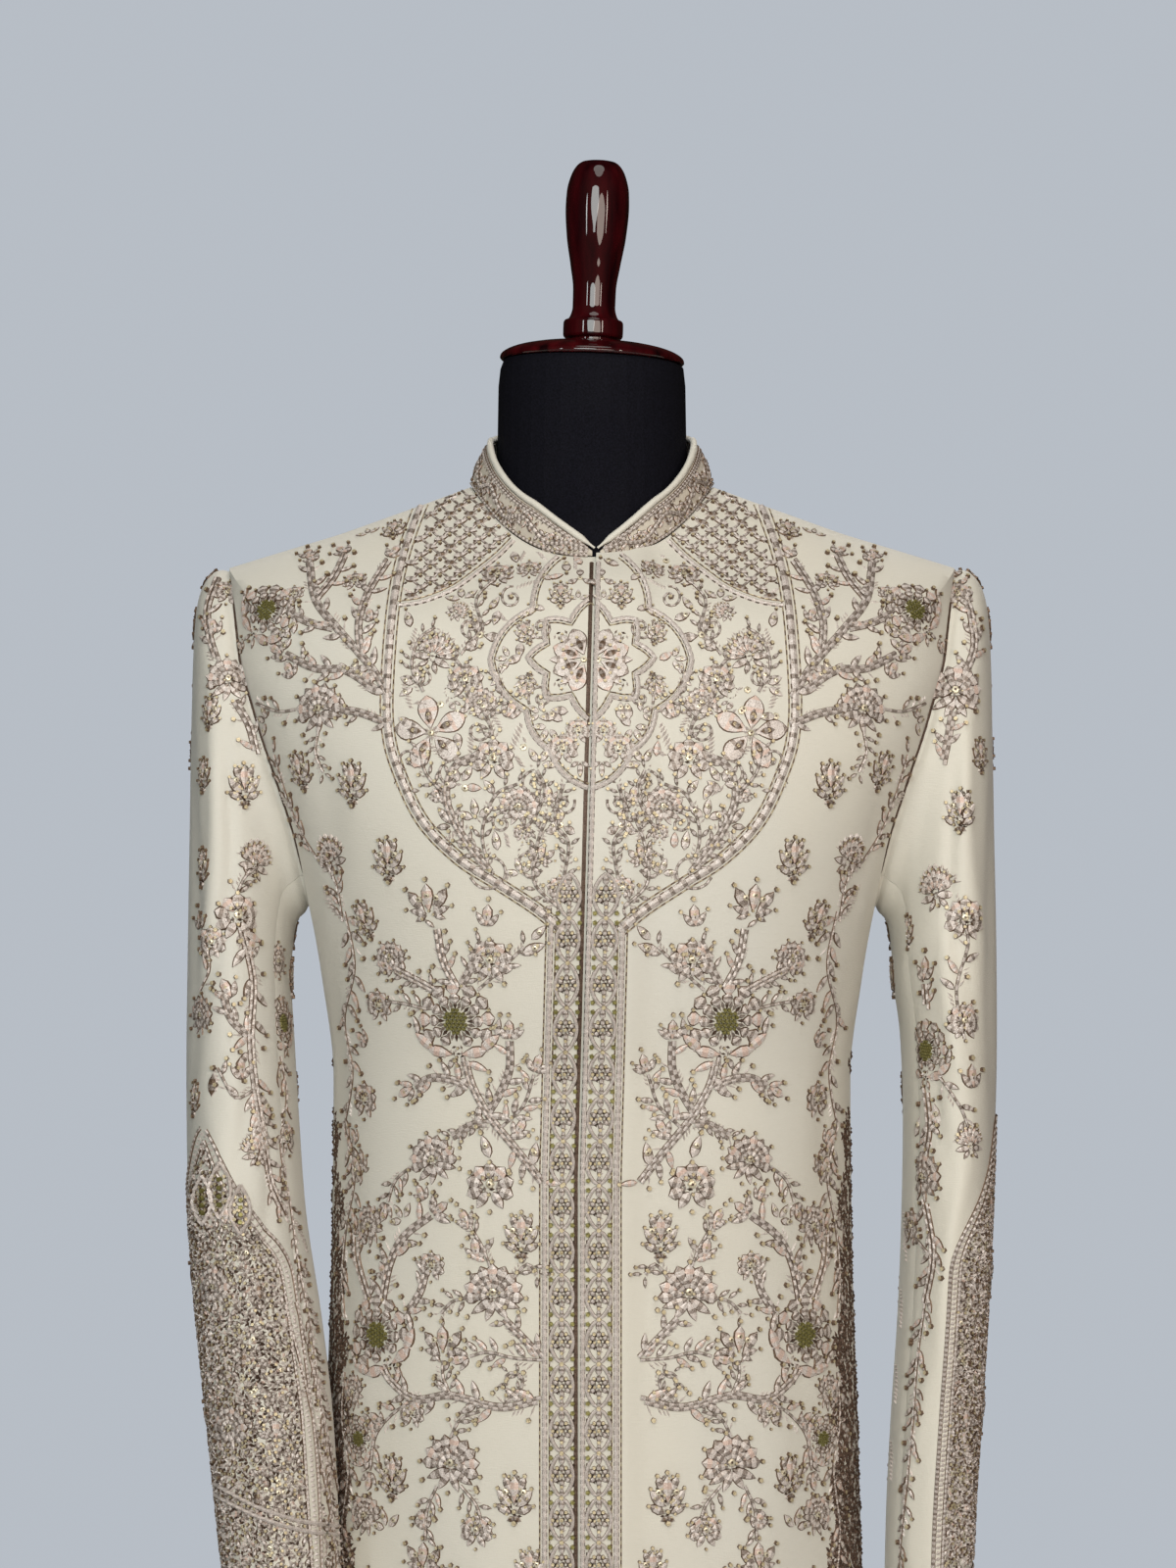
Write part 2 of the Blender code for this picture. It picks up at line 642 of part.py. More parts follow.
def build_form():
    rings = []
    edge_angles = form_angles(FORM_BOTTOM)
    edge = body_surface(FORM_BOTTOM, edge_angles)
    normals = body_normal(FORM_BOTTOM, edge_angles)
    foot = edge - normals * (WALL + EASE[0] + FORM_EDGE)
    foot[:, 2] = FORM_BOTTOM
    rings.append(foot)
    for girth, _ in panel_rows():
        if girth <= FORM_BOTTOM:
            continue
        angles = form_angles(girth)
        # The skirt's flutes belong to the cloth alone.
        inset = form_inset(girth, angles) + flute(girth, angles)
        rings.append(body_surface(girth, angles) - body_normal(girth, angles) * inset[:, None])
    first = rings[1].copy()
    first[:, 2] = FORM_BOTTOM + FORM_EDGE
    rings.insert(1, first)
    angles = form_angles(NECK_SIDE)
    for row in NECK_ROWS:
        centre_z = np.where(np.cos(angles) >= 0, row.front_z, row.back_z)
        x = row.radius * np.sin(angles)
        z = row.side_z + (centre_z - row.side_z) * np.cos(angles) ** 2
        if row is NECK_ROWS[-1]:
            z -= x * math.tan(CAP_TILT)
        y = -row.radius * np.cos(angles)
        rings.append(np.stack([x, y, z], axis=1))
    closed_loft("form_torso", "form_cloth", rings)


def build_stand():
    turned("form_base", "mahogany", BASE, 0.0, BASE_SIDES)
    pole_foot = BASE[-1].height + SEAM
    pole = (Turned(POLE_RADIUS, 0.0), Turned(POLE_RADIUS, FORM_BOTTOM - SEAM - pole_foot))
    turned("form_pole", "pole_metal", pole, pole_foot, POLE_SIDES)
    cap = turned("form_neck_cap", "mahogany", NECK_CAP, CAP_BOTTOM, CAP_SIDES)
    cap.rotation_euler.y = CAP_TILT
    finial_foot = NECK_CAP[-1].height + SEAM
    finial = turned("form_finial", "mahogany", FINIAL, finial_foot, FINIAL_SIDES)
    finial.parent = cap


def make_materials():
    for name, (color, roughness, metallic) in FINISHES.items():
        material = bpy.data.materials.new(name)
        material.use_nodes = True
        shader = material.node_tree.nodes["Principled BSDF"]
        shader.inputs["Base Color"].default_value = (*color, 1)
        shader.inputs["Roughness"].default_value = roughness
        shader.inputs["Metallic"].default_value = metallic


def main():
    for obj in list(bpy.data.objects):
        bpy.data.objects.remove(obj, do_unlink=True)
    make_materials()
    build_panels()
    build_collar()
    build_form()
    build_stand()


main()
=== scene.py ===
"""How a sherwani coat on its dress form looks: cloth, sewn work, wood and a plain studio.

Metres, +Z up; the front faces -Y and the wearer's left is +X. The cloth shells follow the
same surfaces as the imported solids. body_surface is read by a girth line, a height that runs
up the side and on along the shoulder seam, and by the angle round the body, 0 at centre
front. A place given as x, y is a pixel of the 1200 x 1600 picture that the camera takes.
"""

import math
from collections import namedtuple

import bpy
import numpy as np
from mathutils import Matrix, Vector
from mathutils.bvhtree import BVHTree
from mathutils.kdtree import KDTree


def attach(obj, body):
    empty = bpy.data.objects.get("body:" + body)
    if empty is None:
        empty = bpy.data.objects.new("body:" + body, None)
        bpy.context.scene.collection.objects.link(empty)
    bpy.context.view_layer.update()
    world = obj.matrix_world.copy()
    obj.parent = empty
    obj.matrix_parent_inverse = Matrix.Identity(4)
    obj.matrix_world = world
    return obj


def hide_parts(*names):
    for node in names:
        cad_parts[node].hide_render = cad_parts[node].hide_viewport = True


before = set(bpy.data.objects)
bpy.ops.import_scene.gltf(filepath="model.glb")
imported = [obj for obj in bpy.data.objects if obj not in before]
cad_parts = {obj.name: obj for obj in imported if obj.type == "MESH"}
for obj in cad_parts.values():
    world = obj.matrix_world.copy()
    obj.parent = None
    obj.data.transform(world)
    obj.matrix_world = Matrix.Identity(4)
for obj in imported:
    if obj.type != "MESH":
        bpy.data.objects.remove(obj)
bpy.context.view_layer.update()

# -------- sizes of the coat

WALL = 0.0016
SEAM = 0.0003  # the gap between two pieces where they are sewn together
HEM = 0.415
SLIT_TOP = 0.80
SLIT_SPREAD = 0.008
ARMPIT = 1.205
SHOULDER = 1.42
NECK_SIDE = 1.579
TURN = 2 * math.pi


def table(kind, *rows):
    """The rows of a table, as tuples with named columns."""
    return tuple(kind(*row) for row in rows)


def grouped(kind, **places):
    """A table whose rows are grouped by what their first column says."""
    return tuple(kind(word, *row) for word, rows in places.items() for row in rows)


Level = namedtuple("Level", "girth half side_z front_z back_z front back square fall")
LEVELS = table(Level,
    (HEM, 0.187, 0.415, 0.415, 0.415, 0.15, 0.142, 2.2, 2),
    (0.6, 0.179, 0.6, 0.6, 0.6, 0.141, 0.135, 2.25, 2),
    (0.787, 0.17, 0.787, 0.787, 0.787, 0.131, 0.128, 2.3, 2),
    (0.9, 0.167, 0.9, 0.9, 0.9, 0.124, 0.123, 2.35, 2),
    (1, 0.164, 1, 1, 1, 0.119, 0.111, 2.38, 2),
    (1.1, 0.163, 1.1, 1.1, 1.1, 0.119, 0.1, 2.4, 2),
    (1.16, 0.17, 1.16, 1.158, 1.161, 0.126, 0.107, 2.4, 2),
    (ARMPIT, 0.178, 1.205, 1.201, 1.207, 0.13, 0.114, 2.4, 2.5),
    (1.247, 0.19, 1.247, 1.238, 1.25, 0.131, 0.118, 2.38, 4),
    (1.29, 0.2065, 1.29, 1.275, 1.292, 0.129, 0.119, 2.36, 6),
    (1.332, 0.221, 1.332, 1.311, 1.333, 0.124, 0.117, 2.34, 8),
    (1.375, 0.23, 1.375, 1.345, 1.372, 0.116, 0.111, 2.32, 8),
    (SHOULDER, 0.229, 1.42, 1.376, 1.408, 0.105, 0.102, 2.3, 7),
    (1.494, 0.158, 1.4417, 1.402, 1.442, 0.092, 0.088, 2.2, 4.5),
    (1.553, 0.102, 1.462, 1.417, 1.465, 0.078, 0.076, 2.08, 3.2),
    (NECK_SIDE, 0.0765, 1.4715, 1.4225, 1.474, 0.072, 0.07, 2, 2.6),
)
CORNER_SHARE = 8  # how quickly the shoulder's corner fades towards the middle

ARM_STEPS = 10
ARMHOLE_FRONT = 0.052
ARMHOLE_BACK = 0.056
EDGE_TOP_X = 0.0025
EDGE_LOW_X = -0.0075
EDGE_LOW_Z = 1.035
UNDERLAP = 0.022
LIFT = 0.0034  # how far the front that laps over stands out from the other
LIFT_FLAT = 0.024
LIFT_END = 0.042
FLUTE_TOP = 0.98
FLUTE_DEPTH = 0.009
FLUTES = ((5.0, 0.4, 0.6), (8.0, 1.9, 0.4))
FLUTE_GROWTH = 1.4
FLAT_FRONT = 0.35

Section = namedtuple("Section", "over_x over_z under_x under_z centre_y half_depth")
CAP = table(Section,
    (0.239, 1.4175, 0.1815, 1.202, 0.001, 0.0545),
    (0.246, 1.409, 0.185, 1.199, 0.001, 0.056),
    (0.25, 1.393, 0.1875, 1.194, 0.0005, 0.0575),
    (0.252, 1.362, 0.189, 1.186, 0, 0.0595),
    (0.253, 1.315, 0.19, 1.175, -0.0015, 0.0615),
    (0.2535, 1.25, 0.1905, 1.158, -0.0045, 0.063),
)
ARM_RIGHT = table(Section,
    (0.254, 1.175, 0.188, 1.125, -0.011, 0.063),
    (0.2535, 1.1, 0.184, 1.075, -0.023, 0.06),
    (0.2505, 1.025, 0.178, 1.015, -0.039, 0.057),
    (0.2435, 0.96, 0.167, 0.955, -0.058, 0.052),
    (0.235, 0.9, 0.1585, 0.897, -0.076, 0.048),
    (0.227, 0.84, 0.154, 0.838, -0.091, 0.044),
    (0.219, 0.778, 0.15, 0.776, -0.103, 0.041),
)
ARM_LEFT = table(Section,
    (0.254, 1.175, 0.1945, 1.125, -0.011, 0.063),
    (0.253, 1.1, 0.1955, 1.075, -0.02, 0.06),
    (0.249, 1.025, 0.1935, 1.015, -0.032, 0.057),
    (0.2445, 0.96, 0.19, 0.955, -0.044, 0.052),
    (0.2395, 0.9, 0.185, 0.897, -0.055, 0.048),
    (0.2345, 0.84, 0.181, 0.838, -0.065, 0.045),
    (0.2315, 0.778, 0.179, 0.776, -0.072, 0.043),
)
CAP_FADE_RINGS = 4
FRONT_SEAM_STEP = 8
BACK_SEAM_STEP = 6

COLLAR_WALL = 0.0022
COLLAR_END = 0.003
COLLAR_FRONT = 0.0225
COLLAR_SIDE = 0.029
COLLAR_BACK = 0.035
COLLAR_SEAT = 0.0007
COLLAR_RISE = 0.042
COLLAR_RISE_POWER = 1.6
COLLAR_FRONT_DIP = 0.7
COLLAR_LEAN = 0.04
COLLAR_SIDE_LEAN = 0.36
COLLAR_PARTING = 0.0024
PIPING_RADIUS = 0.0021

Turned = namedtuple("Turned", "radius height")
CAP_BOTTOM = 1.5497
CAP_TILT = math.radians(2)
CAP_PROFILE = table(Turned,
    (0.054, 0), (0.0572, 0.0004), (0.0584, 0.0018), (0.058, 0.0034), (0.055, 0.006), (0.05, 0.0082),
    (0.044, 0.0098), (0.036, 0.0112), (0.024, 0.0119),
)
FINIAL_FOOT = 0.0123
FINIAL_PROFILE = table(Turned,
    (0.0145, 0), (0.0146, 0.0028), (0.018, 0.0036), (0.0189, 0.005), (0.019, 0.009), (0.0189, 0.0132),
    (0.018, 0.0146), (0.0162, 0.0153), (0.0146, 0.018), (0.0135, 0.023), (0.0136, 0.034), (0.0157, 0.049),
    (0.0188, 0.068), (0.0201, 0.086), (0.0197, 0.096), (0.0172, 0.1065), (0.0138, 0.1125),
    (0.0107, 0.1148), (0.006, 0.1156),
)

# -------- how fine the shells are

SKIRT_ROWS = 30
WAIST_ROWS = 46
ARMHOLE_ROWS = 36
SHOULDER_ROWS = 26
PANEL_COLUMNS = 56
EDGE_CROWDING = 0.11  # how much closer together a panel's columns are at its edges
STEP_COLUMNS = 4  # sleeve columns for each armhole step
RING_STEPS = 6  # sleeve rings for each section

# -------- the surfaces


def unit(vectors):
    return vectors / np.maximum(np.linalg.norm(vectors, axis=-1, keepdims=True), 1e-9)


def running(points):
    """How far along a line each of its points lies."""
    return np.concatenate([[0], np.cumsum(np.linalg.norm(np.diff(points, axis=0), axis=1))])


def spline(points, steps):
    """A smooth line between the points, whose first and last only steer its ends."""
    fine = []
    for before, start, stop, after in zip(points, points[1:], points[2:], points[3:]):
        for s in np.arange(steps) / steps:
            bend = (stop - before) * s + (2 * before - 5 * start + 4 * stop - after) * s * s
            fine.append(start + (bend + (3 * start - before - 3 * stop + after) * s**3) / 2)
    return fine


def curve_through(stops, values, at):
    """A smooth curve through the values at rising stops, with no overshoot."""
    stops = np.asarray(stops, float)
    values = np.asarray(values, float)
    at = np.clip(at, stops[0], stops[-1])
    runs = np.diff(stops)
    slopes = np.diff(values) / runs
    tangents = np.zeros(len(values))
    tangents[0] = slopes[0]
    tangents[-1] = slopes[-1]
    for i in range(1, len(slopes)):
        if slopes[i - 1] * slopes[i] > 0:
            before = 2 * runs[i] + runs[i - 1]
            after = runs[i] + 2 * runs[i - 1]
            tangents[i] = (before + after) / (before / slopes[i - 1] + after / slopes[i])
    k = np.clip(np.searchsorted(stops, at, side="right") - 1, 0, len(runs) - 1)
    s = (at - stops[k]) / runs[k]
    rise = values[k] * (1 + 2 * s) * (1 - s) ** 2 + values[k + 1] * s * s * (3 - 2 * s)
    return rise + runs[k] * (tangents[k] * s * (1 - s) ** 2 - tangents[k + 1] * s * s * (1 - s))


def level_column(name, girth):
    stops = np.array([level.girth for level in LEVELS])
    values = np.array([getattr(level, name) for level in LEVELS])
    return curve_through(stops, values, girth)


def side_column(name, girth, side_share):
    """A column that turns a corner at the shoulder point, but only near the side."""
    stops = np.array([level.girth for level in LEVELS])
    values = np.array([getattr(level, name) for level in LEVELS])
    low = curve_through(stops[stops <= SHOULDER], values[stops <= SHOULDER], girth)
    high = np.interp(girth, stops[stops >= SHOULDER], values[stops >= SHOULDER])
    cornered = np.where(np.asarray(girth) > SHOULDER, high, low)
    smooth = curve_through(stops, values, girth)
    return smooth + (cornered - smooth) * side_share**CORNER_SHARE


def flute(girth, angle):
    grown = np.clip((FLUTE_TOP - girth) / (FLUTE_TOP - HEM), 0, 1) ** FLUTE_GROWTH
    wave = sum(share * np.cos(turns * angle + phase) for turns, phase, share in FLUTES)
    return FLUTE_DEPTH * grown * wave * (1 - np.exp(-((angle / FLAT_FRONT) ** 2)))


def body_surface(girth, angle):
    """Points on the outside of the coat's body; a negative angle is the wearer's right."""
    girth, angle = np.broadcast_arrays(np.asarray(girth, float), np.asarray(angle, float))
    sine = np.sin(angle)
    cosine = np.cos(angle)
    square = level_column("square", girth)
    at_front = cosine >= 0
    depth = np.where(at_front, level_column("front", girth), level_column("back", girth))
    centre_z = np.where(at_front, level_column("front_z", girth), level_column("back_z", girth))
    side_z = side_column("side_z", girth, np.abs(sine))
    half = side_column("half", girth, np.abs(sine))
    x = half * np.sign(sine) * np.abs(sine) ** (2 / square)
    y = -depth * np.sign(cosine) * np.abs(cosine) ** (2 / square)
    dip = 1 - np.abs(sine) ** level_column("fall", girth)
    push = 1 + flute(girth, angle) / np.hypot(x, y)
    return np.stack([x * push, y * push, side_z + (centre_z - side_z) * dip], axis=-1)


def body_normal(girth, angle):
    rise = 0.0015
    turn = 0.012
    girth = np.clip(girth, HEM + rise, NECK_SIDE - rise)
    up = body_surface(girth + rise, angle) - body_surface(girth - rise, angle)
    round_body = body_surface(girth, angle + turn) - body_surface(girth, angle - turn)
    return unit(np.cross(round_body, up))


def angle_at_x(girth, x):
    share = abs(x) / level_column("half", girth)
    return math.copysign(math.asin(share ** (level_column("square", girth) / 2)), x)


def armhole_girth(step):
    middle = (ARMPIT + SHOULDER) / 2
    return middle - (SHOULDER - ARMPIT) / 2 * math.cos(math.pi * step / ARM_STEPS)


def armhole_angle(step, front):
    """The angle at which the armhole's edge crosses its row, counted up from the armpit."""
    girth = armhole_girth(step)
    deep = ARMHOLE_FRONT if front else ARMHOLE_BACK
    reach = deep * math.sin(math.pi * step / ARM_STEPS)
    depth = level_column("front" if front else "back", girth)
    from_side = math.asin((reach / depth) ** (level_column("square", girth) / 2))
    return math.pi / 2 - from_side if front else math.pi / 2 + from_side


def panel_rows():
    """Girth lines of the panels, each with its step up the armhole or None."""
    skirt = [(g, None) for g in np.linspace(HEM, SLIT_TOP, SKIRT_ROWS, endpoint=False)]
    waist = [(g, None) for g in np.linspace(SLIT_TOP, ARMPIT, WAIST_ROWS, endpoint=False)]
    arm = [(armhole_girth(s), s) for s in np.linspace(0, ARM_STEPS, ARMHOLE_ROWS)]
    neck = np.linspace(SHOULDER, NECK_SIDE - SEAM / 2, SHOULDER_ROWS)[1:]
    return skirt + waist + arm + [(g, None) for g in neck]


def edge_x(z):
    return float(np.interp(z, [EDGE_LOW_Z, LEVELS[-1].front_z], [EDGE_LOW_X, EDGE_TOP_X]))


def smooth_step(at, low, high):
    s = np.clip((at - low) / (high - low), 0, 1)
    return s * s * (3 - 2 * s)


# Folds of the cloth: a soft valley (negative depth) or ridge along a line. On the body a
# place is the angle round it in degrees and the girth line; on a sleeve it is the turn
# round the arm in degrees, 0 on top and 90 at the front, and the share of its length.
Fold = namedtuple("Fold", "from_turn from_place to_turn to_place width depth")
BODY_FOLDS = table(Fold,
    (-62, 1.215, -47, 1.33, 0.012, -0.0016), (-70, 1.19, -58, 1.24, 0.009, 0.0014),
    (-66, 1.18, -63, 1.02, 0.013, -0.0014), (-56, 1.08, -59, 0.86, 0.017, -0.0012),
    (-48, 1, -47, 0.7, 0.021, 0.0014), (-30, 0.76, -33, 0.47, 0.024, -0.0016),
    (-20, 0.83, -19, 0.56, 0.02, 0.0011), (62, 1.22, 49, 1.32, 0.011, -0.0015),
    (69, 1.195, 60, 1.23, 0.009, 0.0013), (67, 1.17, 64, 0.98, 0.012, -0.0015),
    (55, 1.06, 57, 0.8, 0.016, -0.0011), (44, 0.93, 47, 0.64, 0.022, 0.0013),
    (27, 0.77, 31, 0.45, 0.022, -0.0015), (12, 0.62, 14, 0.43, 0.016, 0.001),
    (-34, 1.44, -22, 1.395, 0.012, -0.0007), (36, 1.45, 23, 1.4, 0.012, -0.0006),
    (113, 1.21, 128, 1.32, 0.013, -0.0018), (118, 1.12, 122, 0.9, 0.017, -0.0015),
    (-112, 1.215, -126, 1.31, 0.014, -0.0017), (-120, 1.14, -117, 0.88, 0.018, -0.0014),
    (150, 1.08, 155, 0.7, 0.024, 0.0016), (-146, 1.06, -152, 0.64, 0.022, 0.0014),
    (168, 1.02, 171, 0.52, 0.019, -0.0013), (-165, 0.9, -168, 0.48, 0.018, -0.0012),
)
SLEEVE_FOLDS = {
    -1: table(Fold,
        (62, 0.05, 40, 0.34, 0.01, 0.0028), (80, 0.04, 62, 0.3, 0.007, -0.0022),
        (20, 0.1, 26, 0.46, 0.011, -0.0019), (100, 0.3, 78, 0.52, 0.008, -0.002),
        (60, 0.42, 88, 0.72, 0.01, 0.0019), (124, 0.44, 96, 0.6, 0.006, -0.002),
        (40, 0.7, 60, 0.98, 0.011, -0.0015), (110, 0.68, 120, 0.97, 0.008, 0.0016),
        (-60, 0.1, -40, 0.48, 0.011, -0.002), (-95, 0.38, -70, 0.6, 0.009, 0.0018),
        (-50, 0.62, -66, 0.95, 0.012, -0.0016),
    ),
    1: table(Fold,
        (66, 0.05, 46, 0.3, 0.009, 0.0024), (84, 0.05, 60, 0.36, 0.007, -0.0024),
        (100, 0.2, 74, 0.42, 0.008, 0.0022), (16, 0.12, 22, 0.5, 0.012, -0.0016),
        (118, 0.34, 92, 0.5, 0.006, -0.0021), (70, 0.46, 94, 0.74, 0.01, 0.0019),
        (36, 0.66, 50, 0.97, 0.011, -0.0016), (108, 0.72, 116, 0.98, 0.008, 0.0015),
        (-64, 0.12, -44, 0.5, 0.011, -0.0019), (-90, 0.42, -72, 0.64, 0.009, 0.0016),
        (-46, 0.66, -60, 0.97, 0.012, -0.0015),
    ),
}
BODY_TURN_LENGTH = 0.15  # metres of cloth in a radian round the body
ARM_TURN_LENGTH = 0.055
ARM_LENGTH = 0.64
SEAM_DIP = 0.0017  # how far cloth rolls in at a seam
SEAM_ROLL = 0.0035


def folded(folds, turns, places, turn_length, place_length):
    """How far the folds push the cloth out at each point."""
    total = np.zeros(np.broadcast(turns, places).shape)
    for fold in folds:
        start = np.array([math.radians(fold.from_turn) * turn_length, fold.from_place * place_length])
        stop = np.array([math.radians(fold.to_turn) * turn_length, fold.to_place * place_length])
        length = np.linalg.norm(stop - start)
        along = (stop - start) / length
        right = turns * turn_length - start[0]
        up = places * place_length - start[1]
        share = (right * along[0] + up * along[1]) / length
        bow = 0.10 * length * np.sin(math.pi * np.clip(share, 0, 1))
        across = right * along[1] - up * along[0] - bow
        taper = smooth_step(share, -0.15, 0.3) * (1 - smooth_step(share, 0.6, 1.15))
        total += fold.depth * np.exp(-((across / fold.width) ** 2)) * taper
    return total


def rolled_in(distance):
    """How far cloth dips this close to a seam."""
    return SEAM_DIP * np.exp(-((distance / SEAM_ROLL) ** 2))


def panel_row(girth, step, side, front):
    """The angles of one row of a panel, and how far each lies from the row's two ends."""
    stop = side * (math.pi / 2 if step is None else armhole_angle(step, front))
    if front:
        x = edge_x(level_column("front_z", girth))
        start = angle_at_x(girth, x if side > 0 else x + UNDERLAP)
        at_start = 0.0
    else:
        start = math.pi * side
        at_start = SEAM / 2
    fine = np.linspace(start, stop, 240)
    run = running(body_surface(girth, fine))
    slit = SLIT_SPREAD * max(0.0, (SLIT_TOP - girth) / (SLIT_TOP - HEM))
    share = np.linspace(0, 1, PANEL_COLUMNS)
    share = share - EDGE_CROWDING * np.sin(TURN * share) * 0.9
    at = at_start + share * (run[-1] - at_start - SEAM / 2 - slit)
    return np.interp(at, run, fine), at - at[0], at[-1] - at


def panel_grid(side, front):
    """Outer points and normals of one body panel, rows from the hem to the neck."""
    outer = []
    facing = []
    for girth, step in panel_rows():
        angles, from_start, from_stop = panel_row(girth, step, side, front)
        points = body_surface(girth, angles)
        normals = body_normal(girth, angles)
        push = folded(BODY_FOLDS, angles, girth, BODY_TURN_LENGTH, 1.0)
        if girth > SLIT_TOP:
            push = push - rolled_in(from_stop)
        if not front:
            push = push - rolled_in(from_start)
        if front and side > 0:
            push = push + LIFT * (1 - smooth_step(from_start, LIFT_FLAT, LIFT_END))
        outer.append(points + normals * push[:, None])
        facing.append(normals)
    return np.array(outer), np.array(facing)


def armhole_loop(side):
    """The armhole's edge and its normals, from the top round the front."""
    count = ARM_STEPS * STEP_COLUMNS
    steps = np.abs(ARM_STEPS - np.arange(2 * count) / STEP_COLUMNS)
    fronts = np.arange(2 * count) <= count
    girths = np.array([armhole_girth(step) for step in steps])
    angles = side * np.array([armhole_angle(step, front) for step, front in zip(steps, fronts)])
    return body_surface(girths, angles), body_normal(girths, angles)


def ring_of(section, side, turns):
    """Points round one sleeve section; turns is 0 on top of the arm, then the front."""
    over = np.array([side * section.over_x, section.centre_y, section.over_z])
    under = np.array([side * section.under_x, section.centre_y, section.under_z])
    lengthwise = np.cos(turns)[:, None] * (over - under) / 2
    depthwise = np.sin(turns)[:, None] * np.array([0, -section.half_depth, 0])
    return (over + under) / 2 + lengthwise + depthwise


def sleeve_grid(side):
    """Outer points and normals of a whole sleeve, rings from the armhole to the cuff."""
    points, normals = armhole_loop(side)
    count = len(points)
    turns = TURN * np.arange(count) / count
    middle = count // 2
    seam = Section(
        abs(points[0][0]), points[0][2], abs(points[middle][0]), points[middle][2], 0.0, ARMHOLE_FRONT
    )
    along_edge = np.roll(points, -1, axis=0) - np.roll(points, 1, axis=0)
    across = unit(np.cross(along_edge, normals))
    across *= np.sign((across * (points.mean(axis=0) - points)).sum(axis=1, keepdims=True))
    shape_left = points - ring_of(seam, side, turns)
    rings = [points + across * SEAM]
    for i, section in enumerate(CAP + (ARM_LEFT if side > 0 else ARM_RIGHT)):
        fade = max(0.0, 1 - (i + 1) / CAP_FADE_RINGS) ** 1.5
        rings.append(ring_of(section, side, turns) + fade * shape_left)
    outer = np.array(spline(rings[:1] + rings + rings[-1:], RING_STEPS) + rings[-1:])
    facing = ring_normals(outer)
    if ((outer - outer.mean(axis=1, keepdims=True)) * facing)[1:].sum() < 0:
        facing = -facing
    facing[0] = normals
    run = np.linalg.norm(np.diff(outer, axis=0), axis=2).cumsum(axis=0)
    run = np.concatenate([np.zeros((1, count)), run])
    shares = (run / run[-1]).mean(axis=1)[:, None]
    signed = np.where(turns > math.pi, turns - TURN, turns)
    push = folded(SLEEVE_FOLDS[side], signed[None, :], shares, ARM_TURN_LENGTH, ARM_LENGTH)
    push = push - rolled_in(run)
    for step in (FRONT_SEAM_STEP, -BACK_SEAM_STEP):
        off = np.abs(np.angle(np.exp(1j * (turns - step * TURN / (2 * ARM_STEPS)))))
        push = push - 0.5 * rolled_in(off * ARM_TURN_LENGTH)[None, :]
    return outer + facing * push[..., None], facing


def ring_normals(rings):
    """Normals at the points of rings."""
    around = np.roll(rings, -1, axis=1) - np.roll(rings, 1, axis=1)
    return unit(np.cross(around, np.gradient(rings, axis=0)))


def seam_cut(grid, first, last):
    """Columns first to last of a ring grid, its end columns moved in by half a seam."""
    part = grid[:, [j % grid.shape[1] for j in range(first, last + 1)]].copy()
    for end, inside in ((0, 1), (-1, -2)):
        part[:, end] += unit(part[:, inside] - part[:, end]) * SEAM / 2
    return part


def collar_height(angle, length):
    rise = 1 - (1 - np.clip(length / COLLAR_RISE, 0, 1)) ** COLLAR_RISE_POWER
    behind = np.clip(-np.cos(angle), 0, 1) ** 2
    before = np.clip(np.cos(angle), 0, 1) ** COLLAR_FRONT_DIP
    full = COLLAR_SIDE + (COLLAR_BACK - COLLAR_SIDE) * behind
    full += (COLLAR_FRONT - COLLAR_SIDE) * before
    return COLLAR_END + (full - COLLAR_END) * rise


def collar_frame(columns):
    """Base points, up directions, normals and heights round the collar."""
    start = angle_at_x(NECK_SIDE, EDGE_TOP_X + COLLAR_PARTING)
    stop = TURN + angle_at_x(NECK_SIDE, EDGE_TOP_X - COLLAR_PARTING)
    fine = np.linspace(start, stop, 600)
    run = running(body_surface(NECK_SIDE, fine))
    share = np.arange(columns + 1) / columns
    angles = np.interp(share * run[-1], run, fine)
    base = body_surface(NECK_SIDE, angles) + np.array([0, 0, COLLAR_SEAT])
    height = collar_height(angles, np.minimum(share, 1 - share) * run[-1])
    out = np.stack([np.sin(angles), -np.cos(angles), np.zeros(len(angles))], axis=1)
    lean = COLLAR_LEAN + COLLAR_SIDE_LEAN * np.sin(angles) ** 6
    rise = np.array([0, 0, 1.0])
    return base, unit(rise - out * lean[:, None]), unit(out + rise * lean[:, None]), height


# -------- meshes


def mesh_object(name, points, faces, materials, face_materials=None, sharp=50):
    """An object from points and arrays of faces, riding on the part."""
    mesh = bpy.data.meshes.new(name)
    faces = [np.asarray(rows, np.int32) for rows in faces if len(rows)]
    corners = np.concatenate([rows.ravel() for rows in faces])
    sizes = np.concatenate([np.full(len(rows), rows.shape[1], np.int32) for rows in faces])
    mesh.vertices.add(len(points))
    mesh.vertices.foreach_set("co", np.asarray(points, np.float32).ravel())
    mesh.loops.add(len(corners))
    mesh.loops.foreach_set("vertex_index", corners)
    mesh.polygons.add(len(sizes))
    mesh.polygons.foreach_set("loop_start", np.cumsum(sizes) - sizes)
    if face_materials is not None:
        mesh.polygons.foreach_set("material_index", np.asarray(face_materials, np.int32))
    mesh.update(calc_edges=True)
    mesh.validate()
    mesh.shade_smooth()
    if sharp:
        mesh.set_sharp_from_angle(angle=math.radians(sharp))
    for material in materials:
        mesh.materials.append(material)
    obj = bpy.data.objects.new(name, mesh)
    bpy.context.scene.collection.objects.link(obj)
    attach(obj, "root")
    return obj


